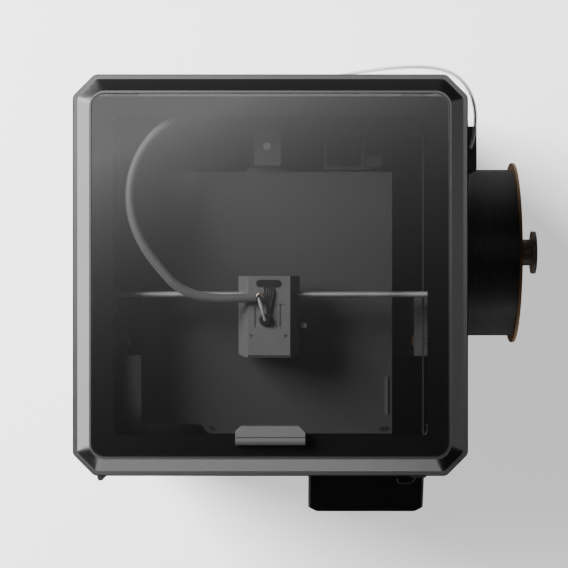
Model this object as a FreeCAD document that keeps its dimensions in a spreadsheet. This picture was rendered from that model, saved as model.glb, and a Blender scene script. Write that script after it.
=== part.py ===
import FreeCAD, Part
import math
import os
import Sketcher

# An enclosed desktop printer that lays down melted filament: a moulded case with a hinged glass
# lid and a glass door, a gantry on rods, a toolhead, a bed on three lead screws, a spool on the
# right wall and a touch screen in front.
# Frame: origin on the floor under the middle of the case, +X to the spool side, -Y to the door
# side, +Z up. Millimetres.

os.makedirs("parts", exist_ok=True)
doc = FreeCAD.newDocument("enclosed_printer")
Vector = FreeCAD.Vector

SIZES = {
    # case
    "body_width": 400.4, "body_depth": 406.8, "corner_cut": 22, "corner_blend": 8, "wall": 3,
    "foot_height": 12, "foot_radius": 14, "foot_inset": 40, "floor_low": 70, "floor_high": 72,
    "shell_top": 440, "ledge_level": 466, "bezel_top": 478, "seat_level": 474,
    "ledge_width": 5.1, "slope_width": 12.8, "inner_ledge": 2, "deck_under": 464,
    "rim_inset": 1.2, "rim_high": 3,
    "window_half_x": 160, "window_half_y": 162, "window_round": 4, "cavity_wall": 3,
    "post_side": 8, "post_depth": 18, "seal_thick": 1.8,
    # lid
    "glass_half_x": 179.5, "glass_half_y": 182.4, "glass_thick": 4, "glass_round": 13,
    "seat_gap": 0.9, "lid_axis_y": 187.1, "lid_axis_z": 472.8, "lid_pin_radius": 0.8,
    "lid_barrel_radius": 1.7, "lid_barrel_length": 26, "lid_barrel_x": 146, "lid_post_wide": 3,
    "lid_post_gap": 0.4, "hinge_floor": 469.9, "hinge_rear": 189.1, "handle_wide": 70,
    "handle_deep": 19.3, "handle_high": 10, "handle_rear_y": 151.5, "handle_cut": 6,
    # front and door
    "door_thick": 4.7, "door_half": 172, "door_low": 116, "door_high": 462, "door_open_half": 158,
    "door_open_low": 122, "door_open_high": 436, "fascia_thick": 7, "door_pin_x": 174.5,
    "door_pin_radius": 1.5, "door_barrel_radius": 3.5, "door_pin_out": 4,
    # floor bay
    "belt_high": 6, "belt_thick": 1.4, "z_belt_level": 27, "pulley_radius": 9,
    "motor_side": 42, "motor_high": 40,
    # lift
    "screw_x": 162, "screw_y": -70, "rear_screw_x": -4, "rear_screw_y": 135, "screw_radius": 4,
    "screw_low": 22, "screw_high": 394, "guide_step": 34, "guide_radius": 4, "bracket_low": 386,
    "bracket_high": 394, "running_fit": 0.05, "nut_radius": 8, "nut_flange": 12,
    # bed
    "bed_x": -4.5, "plate_half": 132, "plate_front": -156.4, "plate_rear": 109, "plate_top": 378,
    "plate_thick": 1.2, "heater_thick": 7, "bed_frame_low": 342, "bed_frame_high": 350,
    "tab_half": 21.5, "tab_deep": 4, "flap_deep": 10, "bed_inset": 2,
    # gantry
    "gantry_y": -19.7, "y_rod_x": 172.4, "y_rod_z": 428, "y_rod_radius": 4, "x_rod_radius": 3,
    "x_rod_low_z": 420, "x_rod_high_z": 436, "x_rod_half": 170, "carriage_low": 414,
    "carriage_high": 442, "carriage_in": 163, "carriage_out": 186, "carriage_half_y": 22,
    "belt_x": 165, "belt_level": 404, "drive_radius": 6, "belt_end_y": 167,
    # toolhead
    "head_front": -84, "head_rear": -0.8, "head_top": 455, "head_low": 395, "head_left": -33,
    "head_right": 30, "head_top_left": -22.5, "head_top_right": 20.1, "head_shoulder": 430,
    "head_wall": 2, "nozzle_x": -5.1, "nozzle_y": -45.6, "nozzle_tip": 379, "gear_radius": 5.2,
    "gear_wide": 6, "gear_level": 434, "gear_gap": 1.2, "fan_radius": 12, "fan_level": 405.5,
    # spool side
    "spool_y": 26, "spool_z": 242, "spool_radius": 100, "spool_in": 206, "spool_out": 269.4,
    "flange_thick": 3, "core_radius": 40, "core_bore": 27, "winding_radius": 92.5,
    "holder_radius": 14.5, "holder_end": 292.7, "holder_cap_radius": 23.5, "holder_cap_thick": 4.5,
    "sensor_out": 215.4, "sensor_front": 109, "sensor_rear": 156, "sensor_low": 338,
    "sensor_high": 392, "socket_x": 208.5, "socket_y": 134, "socket_top": 396,
    "socket_radius": 5, "tube_radius": 2, "loom_radius": 4.75,
    # screen
    "screen_left": 43, "screen_right": 181, "screen_front": -282.2, "screen_front_z": 52,
    "screen_back_z": 97, "screen_cut_x": 10.5, "screen_cut_y": 5.1, "screen_glass_thick": 2,
    # rear
    "fan_x": -95, "fan_z": 290, "fan_side": 80, "fan_deep": 20, "fan_bore": 37, "inlet_x": 125,
    "inlet_z": 42, "port_x": 66, "port_low": 330, "port_high": 352,
}

sheet = doc.addObject("Spreadsheet::Sheet", "Sheet")
for row, (alias, value) in enumerate(SIZES.items(), start=1):
    sheet.set(f"A{row}", alias)
    sheet.set(f"B{row}", str(value))
    sheet.setAlias(f"B{row}", alias)
doc.recompute()


class Size:
    """A number together with the sheet formula that gives it."""

    def __init__(self, value, formula):
        self.value = value
        self.formula = formula

    def join(self, sign, other, value):
        return Size(value, f"({self.formula} {sign} {as_size(other).formula})")

    def __add__(self, other):
        return self.join("+", other, self.value + as_size(other).value)

    def __sub__(self, other):
        return self.join("-", other, self.value - as_size(other).value)

    def __mul__(self, other):
        return self.join("*", other, self.value * as_size(other).value)

    def __truediv__(self, other):
        return self.join("/", other, self.value / as_size(other).value)

    def __radd__(self, other):
        return as_size(other) + self

    def __rsub__(self, other):
        return as_size(other) - self

    def __rmul__(self, other):
        return as_size(other) * self

    def __neg__(self):
        return as_size(-1) * self


def as_size(number):
    """A plain number as a Size, so that both can stand in a formula."""
    if isinstance(number, Size):
        return number
    return Size(float(number), f"({float(number)})")


class Dimensions:
    """Reads the sheet: dims.wall is the Size of the cell called wall."""

    def __getattr__(self, alias):
        return Size(float(sheet.get(alias)), f"Sheet.{alias}")


dims = Dimensions()
half_x = dims.body_width / 2
half_y = dims.body_depth / 2
sub_parts = []


def bind(thing, prop, number):
    """Bind a property to the formula of a size."""
    thing.setExpression(prop, as_size(number).formula)


def keep(thing, label):
    """Give a finished sub-part its label and add it to what is written."""
    thing.Label = label
    sub_parts.append(thing)
    return thing


def new_body(label, kept=True):
    body = doc.addObject("PartDesign::Body", label)
    body.Label = label
    return keep(body, label) if kept else body


def new_sketch(body, plane, level):
    """An empty sketch on an origin plane of the body, moved to a level along the plane's axis."""
    drawing = body.newObject("Sketcher::SketchObject", body.Label + "_sketch")
    origin_plane = next(item for item in body.Origin.OriginFeatures if item.Role == plane)
    drawing.AttachmentSupport = [(origin_plane, "")]
    drawing.MapMode = "FlatFace"
    bind(drawing, "AttachmentOffset.Base.z", -as_size(level) if plane == "XZ_Plane" else level)
    return drawing


def fix_point(drawing, geometry, place, point):
    """Fix a point of the drawing at a place measured from the sketch's origin."""
    for kind, number in zip(("DistanceX", "DistanceY"), place):
        size = as_size(number)
        rule = Sketcher.Constraint(kind, -1, 1, geometry, point, size.value)
        index = drawing.addConstraint(rule)
        drawing.setExpression(f"Constraints[{index}]", size.formula)


def draw_polygon(drawing, points):
    first = drawing.GeometryCount
    count = len(points)
    places = [Vector(as_size(x).value, as_size(y).value, 0) for x, y in points]
    for i in range(count):
        drawing.addGeometry(Part.LineSegment(places[i], places[(i + 1) % count]), False)
    for i in range(count):
        following = first + (i + 1) % count
        drawing.addConstraint(Sketcher.Constraint("Coincident", first + i, 2, following, 1))
    for i in range(count):
        fix_point(drawing, first + i, points[i], 1)


def draw_box(drawing, low, high):
    draw_polygon(drawing, [low, (high[0], low[1]), high, (low[0], high[1])])


def draw_circle(drawing, centre, radius):
    size = as_size(radius)
    place = Vector(as_size(centre[0]).value, as_size(centre[1]).value, 0)
    geometry = drawing.addGeometry(Part.Circle(place, Vector(0, 0, 1), size.value), False)
    index = drawing.addConstraint(Sketcher.Constraint("Radius", geometry, size.value))
    drawing.setExpression(f"Constraints[{index}]", size.formula)
    fix_point(drawing, geometry, centre, 3)


def extrude(body, kind, drawing, length):
    """Pad or pocket a sketch towards the positive side of its plane's axis."""
    plane = drawing.AttachmentSupport[0][0].Role
    feature = body.newObject(kind, f"{body.Label}_{kind[12:].lower()}")
    feature.Profile = drawing
    bind(feature, "Length", length)
    backwards = plane == "XZ_Plane"
    feature.Reversed = backwards if kind == "PartDesign::Pad" else not backwards
    return feature


def pad_polygon(body, plane, low, high, points):
    drawing = new_sketch(body, plane, low)
    draw_polygon(drawing, points)
    return extrude(body, "PartDesign::Pad", drawing, as_size(high) - low)


def pocket_polygon(body, plane, low, high, points):
    drawing = new_sketch(body, plane, low)
    draw_polygon(drawing, points)
    return extrude(body, "PartDesign::Pocket", drawing, as_size(high) - low)


def pocket_boxes(body, plane, low, high, boxes):
    drawing = new_sketch(body, plane, low)
    for box in boxes:
        draw_box(drawing, box[0], box[1])
    return extrude(body, "PartDesign::Pocket", drawing, as_size(high) - low)


def pocket_circles(body, plane, low, high, circles):
    drawing = new_sketch(body, plane, low)
    for centre, radius in circles:
        draw_circle(drawing, centre, radius)
    return extrude(body, "PartDesign::Pocket", drawing, as_size(high) - low)


def pad_circles(body, plane, low, high, circles):
    drawing = new_sketch(body, plane, low)
    for centre, radius in circles:
        draw_circle(drawing, centre, radius)
    return extrude(body, "PartDesign::Pad", drawing, as_size(high) - low)


def along(axis, test=lambda middle: True):
    """Picks straight edges along an axis whose middle passes a test."""
    def chosen(edge):
        if edge.Curve.TypeId != "Part::GeomLine":
            return False
        return abs(edge.Curve.Direction.dot(axis)) > 0.999 and test(edge.CenterOfMass)
    return chosen


X = Vector(1, 0, 0)
Y = Vector(0, 1, 0)
Z = Vector(0, 0, 1)


def round_edges(body, radius, chosen):
    """Round the edges of the body that a test picks."""
    doc.recompute()
    shape = body.Tip.Shape
    names = [f"Edge{i}" for i, edge in enumerate(shape.Edges, start=1) if chosen(edge)]
    base = body.Tip
    fillet = body.newObject("PartDesign::Fillet", body.Label + "_fillet")
    fillet.Base = (base, names)
    bind(fillet, "Radius", radius)
    return fillet


def block(low, high):
    """A Part box between two corners."""
    solid = doc.addObject("Part::Box", "block")
    for prop, axis, start, end in zip(("Length", "Width", "Height"), "xyz", low, high):
        bind(solid, prop, as_size(end) - start)
        bind(solid, f"Placement.Base.{axis}", start)
    return solid


def cylinder(axis, start, radius, length):
    """A Part cylinder from the middle of its first end."""
    solid = doc.addObject("Part::Cylinder", "cylinder")
    solid.Placement = FreeCAD.Placement(Vector(), FreeCAD.Rotation(Z, axis))
    bind(solid, "Radius", radius)
    bind(solid, "Height", length)
    for name, number in zip("xyz", start):
        bind(solid, f"Placement.Base.{name}", number)
    return solid


def cut(base, *tools):
    """The base less its tools."""
    result = base
    for tool in tools:
        less = doc.addObject("Part::Cut", "less")
        less.Base = result
        less.Tool = tool
        result = less
    return result


def fuse(*solids):
    joined = doc.addObject("Part::MultiFuse", "joined")
    joined.Shapes = list(solids)
    return joined


def group(solids):
    """Separate solids in one sub-part."""
    together = doc.addObject("Part::Compound", "together")
    together.Links = list(solids)
    return together


def feature(shape, label):
    """A sub-part whose shape comes from Part functions."""
    item = doc.addObject("Part::Feature", label)
    item.Shape = shape
    item.Placement = FreeCAD.Placement()
    return keep(item, label)


def both_sides(x):
    """The same distance to the left and to the right of the middle."""
    return (-x, x)


def cut_corners(across, along_y, leg):
    """The eight corners of the case's outline, as an outline with cut corners."""
    return [
        (-across, leg - along_y), (leg - across, -along_y), (across - leg, -along_y),
        (across, leg - along_y), (across, along_y - leg), (across - leg, along_y),
        (leg - across, along_y), (-across, along_y - leg),
    ]


# Case -----------------------------------------------------------------------------------------

def base_pan():
    """The moulded tray under the chamber, with the inlet's opening in its rear wall."""
    body = new_body("base_pan")
    outline = cut_corners(half_x, half_y, dims.corner_cut)
    pad_polygon(body, "XY_Plane", dims.foot_height, dims.floor_low, outline)
    round_edges(body, dims.corner_blend, along(Z))
    inner = cut_corners(half_x - dims.wall, half_y - dims.wall, dims.corner_cut)
    pocket_polygon(body, "XY_Plane", dims.foot_height + dims.wall, dims.floor_low, inner)
    inlet_low = (dims.inlet_x - 26, dims.inlet_z - 14)
    inlet_high = (dims.inlet_x + 38, dims.inlet_z + 14)
    rear_in = half_y - 2 * dims.wall
    slots = [((x, 30), (x + 4, 55)) for x in range(-130, -50, 9)]
    pocket_boxes(body, "XZ_Plane", rear_in, half_y + 1, [(inlet_low, inlet_high)] + slots)


def feet():
    radius = dims.foot_radius
    solids = []
    for x in both_sides(half_x - dims.foot_inset):
        for y in both_sides(half_y - dims.foot_inset):
            solids.append(cylinder(Z, (x, y, 0), radius, dims.foot_height))
    keep(group(solids), "rubber_feet")


def side_panel(label, side):
    """One long wall with its two slanted corners, a shallow field, a grip and vent slots."""
    body = new_body(label)
    wall = dims.wall
    leg = dims.corner_cut
    lean = wall * math.tan(math.pi / 8)
    slant = wall * math.sqrt(2)
    outer = side * half_x
    inner = side * (half_x - wall)
    edge = side * (half_x - leg)
    points = [
        (edge, -half_y), (outer, leg - half_y), (outer, half_y - leg), (edge, half_y),
        (edge, half_y - slant), (inner, half_y - leg - lean), (inner, leg + lean - half_y),
        (edge, slant - half_y),
    ]
    pad_polygon(body, "XY_Plane", dims.floor_low, dims.shell_top, points)
    outer_edges = along(Z, lambda middle: abs(middle.x) > half_x.value - 1)
    inner_edges = along(Z, lambda middle: abs(abs(middle.x) - half_x.value + 3) < 0.5)
    round_edges(body, dims.corner_blend, outer_edges)
    round_edges(body, dims.corner_blend - wall, inner_edges)
    outside = dims.body_width / 2 if side > 0 else -dims.body_width / 2 + 0.9
    field = [((-150, 104), (150, 424))]
    pocket_boxes(body, "YZ_Plane", outside - 0.9, outside, field)
    low = outer if side < 0 else inner
    slots = [((y, 112), (y + 4, 150)) for y in range(-140, -60, 9)]
    pocket_boxes(body, "YZ_Plane", low - 1, low + wall + 1, slots)


def rear_panel():
    body = new_body("rear_panel")
    edge = half_x - dims.corner_cut
    rear_in = half_y - dims.wall
    corner_low = (-edge, dims.floor_low)
    corner_high = (edge, dims.shell_top)
    drawing = new_sketch(body, "XZ_Plane", rear_in)
    draw_box(drawing, corner_low, corner_high)
    extrude(body, "PartDesign::Pad", drawing, dims.wall)
    slots = []
    for step in range(-4, 5):
        reach = math.sqrt(33 ** 2 - (step * 7) ** 2)
        level = dims.fan_z + step * 7
        slots.append(((dims.fan_x - reach, level - 2), (dims.fan_x + reach, level + 2)))
    pocket_boxes(body, "XZ_Plane", rear_in - 1, half_y + 1, slots)


def front_fascia():
    """The frame round the door's opening and the apron that carries the screen."""
    body = new_body("front_fascia")
    edge = half_x - dims.corner_cut
    face = dims.door_thick + 0.3 - half_y
    drawing = new_sketch(body, "XZ_Plane", face)
    draw_box(drawing, (-edge, dims.floor_low), (edge, dims.shell_top))
    extrude(body, "PartDesign::Pad", drawing, dims.fascia_thick)
    apron = new_sketch(body, "XZ_Plane", -half_y)
    draw_box(apron, (-edge, dims.floor_low), (edge, dims.door_low - 1.5))
    extrude(body, "PartDesign::Pad", apron, dims.fascia_thick)
    opening = [((-dims.door_open_half, dims.door_open_low), (dims.door_open_half, dims.door_open_high))]
    pocket_boxes(body, "XZ_Plane", -half_y - 1, face + dims.fascia_thick + 1, opening)
    corners = along(Y, lambda middle: abs(middle.x) < dims.door_open_half.value + 1)
    round_edges(body, dims.corner_blend, corners)


def chamber_floor():
    body = new_body("chamber_floor", kept=False)
    across = half_x - dims.wall - 0.5
    deep = half_y - dims.wall - 9
    corner = dims.corner_cut
    pad_polygon(body, "XY_Plane", dims.floor_low, dims.floor_high, cut_corners(across, deep, corner))
    holes = [((x, dims.screw_y), dims.screw_radius + 2) for x in both_sides(dims.screw_x)]
    holes.append(((dims.rear_screw_x, dims.rear_screw_y), dims.screw_radius + 2))
    pocket_circles(body, "XY_Plane", dims.floor_low - 1, dims.floor_high + 1, holes)
    return body


def corner_posts():
    solids = []
    out = half_x - dims.wall - 0.5
    rear = half_y - dims.corner_cut - 2
    for side in (-1, 1):
        for end in (-1, 1):
            x = sorted((side * out, side * (out - dims.post_side)), key=lambda s: s.value)
            y = sorted((end * rear, end * (rear - dims.post_depth)), key=lambda s: s.value)
            low = (x[0], y[0], dims.floor_high)
            solids.append(block(low, (x[1], y[1], dims.shell_top)))
    return solids


def outline_wire(half_wide, half_deep, leg, blend, level):
    """An outline with slanted, blended corners: four sides and, at each corner, three edges."""
    lean = blend * math.tan(math.pi / 8)
    bow = blend * (1 - math.cos(math.pi / 8))
    points = []
    for turn, (half_a, half_b) in enumerate([(half_wide, half_deep), (half_deep, half_wide)] * 2):
        back = lean / math.sqrt(2)
        corner = [
            Vector(half_a, half_b - leg - lean), Vector(half_a - back, half_b - leg + back),
            Vector(half_a - leg + back, half_b - back), Vector(half_a - leg - lean, half_b),
        ]
        first_mid = blend_middle(corner[0], Vector(0, 1), corner[1], bow)
        last_mid = blend_middle(corner[2], Vector(-1, 1).normalize(), corner[3], bow)
        turned = FreeCAD.Rotation(Z, 90 * turn)
        row = [corner[0], first_mid, corner[1], corner[2], last_mid, corner[3]]
        points.append([turned.multVec(point) + Vector(0, 0, level) for point in row])
    edges = []
    for corner, following in zip(points, points[1:] + points[:1]):
        edges.append(Part.Arc(corner[0], corner[1], corner[2]).toShape())
        edges.append(Part.LineSegment(corner[2], corner[3]).toShape())
        edges.append(Part.Arc(corner[3], corner[4], corner[5]).toShape())
        edges.append(Part.LineSegment(corner[5], following[0]).toShape())
    return Part.Wire(edges)


def blend_middle(start, heading, end, bow):
    """The middle of a 45 degree arc that leaves its start along a heading."""
    half_turn = FreeCAD.Rotation(Z, 22.5).multVec(heading)
    outward = Vector(half_turn.y, -half_turn.x, 0)
    return (start + end) / 2 + outward * bow


def round_wire(across, deep, radius, level):
    """A rounded rectangle whose corner arcs are each in three parts, to match outline_wire."""
    edges = []
    for turn, (half_a, half_b) in enumerate([(across, deep), (deep, across)] * 2):
        centre = Vector(half_a - radius, half_b - radius, 0)
        turned = FreeCAD.Rotation(Z, 90 * turn)

        def on_arc(degrees):
            angle = math.radians(degrees)
            place = centre + Vector(math.cos(angle), math.sin(angle), 0) * radius
            return turned.multVec(place) + Vector(0, 0, level)

        for start, end in ((0, 22.5), (22.5, 67.5), (67.5, 90)):
            middle = on_arc((start + end) / 2)
            edges.append(Part.Arc(on_arc(start), middle, on_arc(end)).toShape())
        corner = Vector(radius - half_a, half_b, 0)
        following = turned.multVec(corner) + Vector(0, 0, level)
        edges.append(Part.LineSegment(on_arc(90), following).toShape())
    return Part.Wire(edges)


def rounded_block(across, deep, radius, low, high):
    return Part.Face(round_wire(across, deep, radius, low)).extrude(Vector(0, 0, high - low))


def inset_outline(inset, level):
    """The case's outline moved inwards, its slanted corners kept parallel."""
    leg = dims.corner_cut.value - inset * (2 - math.sqrt(2))
    blend = dims.corner_blend.value - inset / 5
    return outline_wire(half_x.value - inset, half_y.value - inset, leg, blend, level)


def hinge_pocket(middle):
    """The room under the inner ledge for one of the lid's hidden hinges."""
    wide = dims.lid_barrel_length + 2 * (dims.lid_post_gap + dims.lid_post_wide)
    start = middle.value - wide.value / 2
    low = dims.hinge_floor.value
    rear = dims.hinge_rear.value
    profile = [
        (rear - 13.1, low), (rear, low), (rear, low + 3.3), (rear - 1.2, low + 4.8),
        (rear - 2.8, low + 4.9), (rear - 6, low + 6.3), (rear - 13.1, low + 6.3),
    ]
    corners = [Vector(start, y, z) for y, z in profile]
    outline = Part.Wire(Part.makePolygon(corners + corners[:1]))
    return Part.Face(outline).extrude(Vector(wide.value, 0, 0))


def top_frame():
    """The bezel ring: flat outer ledge, slope, inner ledge, the lid's seat and a skirt below."""
    low = dims.shell_top.value
    ledge = dims.ledge_level.value
    top = dims.bezel_top.value
    rim_low = ledge - dims.rim_high.value
    step = dims.ledge_width.value
    skirt = Part.Face(inset_outline(0, low)).extrude(Vector(0, 0, rim_low - low))
    rim_wires = [inset_outline(0, rim_low), inset_outline(dims.rim_inset.value, ledge)]
    rim = Part.makeLoft(rim_wires, True, True)
    inner_x = half_x.value - step - dims.slope_width.value
    inner_y = half_y.value - step - dims.slope_width.value
    seat_round = dims.glass_round.value + dims.seat_gap.value
    slope_head = round_wire(inner_x, inner_y, seat_round + dims.inner_ledge.value, top)
    slope = Part.makeLoft([inset_outline(step, ledge), slope_head], True, True)
    seat_x = dims.glass_half_x.value + dims.seat_gap.value
    seat_y = dims.glass_half_y.value + dims.seat_gap.value
    seat = rounded_block(seat_x, seat_y, seat_round, dims.seat_level.value, top + 1)
    window = rounded_block(dims.window_half_x.value, dims.window_half_y.value,
                           dims.window_round.value, low - 1, top + 1)
    inside = Part.Face(inset_outline(dims.cavity_wall.value, low - 1))
    cavity = inside.extrude(Vector(0, 0, dims.deck_under.value - low + 1))
    ring = skirt.fuse([rim, slope]).cut([seat, window, cavity])
    ring = ring.cut([hinge_pocket(middle) for middle in both_sides(dims.lid_barrel_x)])
    face_y = -half_y.value
    door_edge = half_x.value - dims.corner_cut.value
    door_notch = Vector(-door_edge, face_y - 1, low - 1)
    notch_deep = 1 + dims.door_thick.value + 0.3
    notch_high = dims.door_high.value + 1 - low
    ring = ring.cut(Part.makeBox(2 * door_edge, notch_deep, notch_high, door_notch))
    behind = Vector(-door_edge, face_y + notch_deep - 1, low)
    lintel = Part.makeBox(2 * door_edge, dims.fascia_thick.value, notch_high, behind)
    feature(ring.fuse(lintel).removeSplitter(), "top_frame")


def lid_seal():
    """The soft strip between the seat and the lid's glass."""
    low = dims.seat_level.value
    high = low + dims.seal_thick.value
    out_x = dims.glass_half_x.value - 6
    out_y = dims.glass_half_y.value - 8
    strip = 6
    outer = rounded_block(out_x, out_y, 9, low, high)
    inner = rounded_block(out_x - strip, out_y - strip, 5, low - 1, high + 1)
    feature(outer.cut(inner), "lid_seal")


base_pan()
feet()
side_panel("left_panel", -1)
side_panel("right_panel", 1)
rear_panel()
front_fascia()
top_frame()
lid_seal()


# Floor bay ------------------------------------------------------------------------------------

PAN_FLOOR = dims.foot_height + dims.wall
Z_MOTOR = (-120, 90)


def ring_wire(points, radius, level):
    """The line of a belt round equal pulleys whose centres turn anticlockwise."""
    centres = [Vector(x, y, level) for x, y in points]
    offsets = []
    for start, end in zip(centres, centres[1:] + centres[:1]):
        heading = (end - start).normalize()
        offsets.append(Vector(heading.y, -heading.x, 0) * radius)
    edges = []
    for i, centre in enumerate(centres):
        before = offsets[i - 1]
        after = offsets[i]
        half_turn = math.degrees(before.getAngle(after)) / 2
        middle = FreeCAD.Rotation(Z, half_turn).multVec(before)
        edges.append(Part.Arc(centre + before, centre + middle, centre + after).toShape())
        following = centres[(i + 1) % len(centres)]
        edges.append(Part.LineSegment(centre + after, following + after).toShape())
    return Part.Wire(edges)


def belt_loop(points, radius, level):
    """A flat toothless belt standing on edge round its pulleys."""
    outer = Part.Face(ring_wire(points, radius + dims.belt_thick.value, level))
    inner = Part.Face(ring_wire(points, radius, level))
    return outer.cut(inner).extrude(Vector(0, 0, dims.belt_high.value))


def screw_places():
    sides = [(x, dims.screw_y) for x in both_sides(dims.screw_x)]
    return sides + [(dims.rear_screw_x, dims.rear_screw_y)]


def lift_motor():
    """The motor that turns the three lead screws together through one belt."""
    low = dims.z_belt_level
    half = dims.motor_side / 2
    x, y = Z_MOTOR
    case = block((x - half, y - half, 37), (x + half, y + half, dims.floor_low))
    shaft = cylinder(Z, (x, y, 22), 2.5, 16)
    pulley = cylinder(Z, (x, y, low - 1), dims.pulley_radius, dims.belt_high + 2)
    return fuse(case, shaft, pulley)


def power_supply():
    body = new_body("power_supply")
    low = PAN_FLOOR
    drawing = new_sketch(body, "XY_Plane", low)
    draw_box(drawing, (-110, -60), (50, 30))
    extrude(body, "PartDesign::Pad", drawing, 42)
    slots = [((x, -52), (x + 4, 22)) for x in range(-100, 20, 10)]
    pocket_boxes(body, "XY_Plane", low + 40, low + 43, slots)


def mainboard():
    level = PAN_FLOOR + 6
    board = block((-150, -185, level), (-20, -95, level + 1.6))
    top = level + 1.6
    chips = [(-130, -170, 22, 22, 3), (-95, -172, 14, 14, 2), (-60, -172, 30, 12, 9),
             (-140, -125, 60, 10, 11), (-70, -125, 18, 18, 8), (-45, -125, 18, 18, 8)]
    solids = [board]
    for x, y, wide, deep, high in chips:
        solids.append(block((x, y, top - 0.2), (x + wide, y + deep, top + high)))
    for x in (-145, -25):
        for y in (-180, -100):
            solids.append(cylinder(Z, (x, y, PAN_FLOOR), 3, 6.2))
    keep(fuse(*solids), "mainboard")


def power_inlet():
    """A three-pin inlet and, beside it, the well of the rocker switch."""
    x = dims.inlet_x
    z = dims.inlet_z
    rear = half_y
    flange = block((x - 25.8, rear - 1, z - 13.8), (x + 37.8, rear + 1, z + 13.8))
    case = block((x - 24, rear - 24, z - 12), (x + 8, rear, z + 12))
    well = block((x + 12, rear - 24, z - 12), (x + 36, rear, z + 12))
    socket = block((x - 20, rear - 17, z - 8.5), (x + 4, rear + 2, z + 8.5))
    room = block((x + 15.5, rear - 13, z - 10.5), (x + 32.5, rear + 2, z + 10.5))
    pins = [block((x - 9 + dx, rear - 18, z + dz), (x - 7 + dx, rear - 5, z + dz + 4))
            for dx, dz in ((0, 2), (-7, -5), (7, -5))]
    keep(fuse(cut(fuse(flange, case, well), socket, room), *pins), "power_inlet")


def rocker_switch():
    body = new_body("rocker_switch")
    x = dims.inlet_x + 24
    z = dims.inlet_z
    rear = half_y
    points = [(rear - 8, z - 8), (rear + 2.6, z - 8.6), (rear + 1, z), (rear + 2.6, z + 8.6),
              (rear - 8, z + 8)]
    pad_polygon(body, "YZ_Plane", x - 7.6, x + 7.6, points)


# Chamber --------------------------------------------------------------------------------------

def guide_rods():
    """Two upright rods for the bed and two level rods for the gantry."""
    y = dims.screw_y + dims.guide_step
    high = dims.bracket_high - dims.floor_high
    rods = [cylinder(Z, (x, y, dims.floor_high), dims.guide_radius, high)
            for x in both_sides(dims.screw_x)]
    low = dims.door_thick + 0.3 + dims.fascia_thick - half_y
    length = dims.body_depth - dims.wall - dims.door_thick - 0.3 - dims.fascia_thick
    for x in both_sides(dims.y_rod_x):
        rods.append(cylinder(Y, (x, low, dims.y_rod_z), dims.y_rod_radius, length))
    keep(group(rods), "guide_rods")


def top_brackets():
    """The three plates that hold the tops of the screws and guide rods."""
    low = dims.bracket_low
    high = dims.bracket_high
    inner = half_x - dims.wall
    front = dims.screw_y - 14
    rear = dims.screw_y + dims.guide_step + 14
    solids = []
    for side, x in zip((-1, 1), both_sides(dims.screw_x)):
        wall_x = side * inner
        ends = sorted((x - side * 12, wall_x), key=lambda s: s.value)
        plate = block((ends[0], front, low), (ends[1], rear, high))
        bore = cylinder(Z, (x, dims.screw_y, low - 1), dims.screw_radius + dims.running_fit, 10)
        hole = cylinder(Z, (x, dims.screw_y + dims.guide_step, low - 1), dims.guide_radius, 10)
        solids.append(cut(plate, bore, hole))
    x = dims.rear_screw_x
    plate = block((x - 13.5, dims.rear_screw_y - 20, low), (x + 14.5, half_y - dims.wall, high))
    place = (x, dims.rear_screw_y, low - 1)
    bore = cylinder(Z, place, dims.screw_radius + dims.running_fit, 10)
    solids.append(cut(plate, bore))
    return solids


def screw_seats():
    return [cylinder(Z, (x, y, PAN_FLOOR), 11, dims.screw_low - PAN_FLOOR - 0.3)
            for x, y in screw_places()]


def inner_frame():
    """Floor plate, corner posts, screw seats and the brackets at the tops of the screws."""
    keep(group([chamber_floor()] + corner_posts() + screw_seats() + top_brackets()), "inner_frame")


def xy_drive():
    """The stepping motors with their mounts, the pulleys and front idlers, and the belts."""
    half = dims.motor_side / 2
    rear = dims.belt_end_y
    plate_low = 398
    motors = [lift_motor()]
    wheels = []
    places = [(x.value, y.value) for x, y in screw_places()] + [Z_MOTOR]
    running = dims.pulley_radius.value + 0.3
    loops = [belt_loop(places, running, dims.z_belt_level.value)]
    for x in both_sides(dims.belt_x):
        motor_low = (x - half, rear - half, plate_low - dims.motor_high)
        case = block(motor_low, (x + half, rear + half, plate_low))
        collar = cylinder(Z, (x, rear, plate_low - 1), 11, 2.8)
        motors.append(fuse(case, collar))
        plate_high = plate_low + 2
        plate = block((x - half, rear - half, plate_low), (x + half, rear + half, plate_high))
        ends = sorted((x * 0.88, x * 1.06), key=lambda s: s.value)
        tab = block((ends[0], rear, plate_low), (ends[1], half_y - dims.wall, plate_high))
        hole = cylinder(Z, (x, rear, plate_low - 1), 11.1, 4)
        motors.append(cut(fuse(plate, tab), hole))
        post = cylinder(Z, (x, rear, plate_low + 1.8), 2.5, 12)
        wheel = cylinder(Z, (x, rear, dims.belt_level - 1), dims.drive_radius, 8)
        wheels.append(fuse(post, wheel))
        front = -rear
        outer = x * 1.12
        ends = sorted((x - (outer - x) / 8, outer), key=lambda s: s.value)
        foot_low = (ends[0], front - 18, dims.belt_level - 8)
        foot = block(foot_low, (ends[1], front + 12, dims.belt_level - 2))
        pin = cylinder(Z, (x, front, dims.belt_level - 3), 2, 12)
        roller = cylinder(Z, (x, front, dims.belt_level - 1), dims.drive_radius, 8)
        wheels.append(fuse(foot, pin, roller))
        places = [(x.value, front.value), (x.value, rear.value)]
        loops.append(belt_loop(places, dims.drive_radius.value + 0.02, dims.belt_level.value))
    keep(group(motors), "drive_motors")
    keep(group(wheels), "belt_wheels")
    feature(Part.Compound(loops), "drive_belts")


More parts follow.
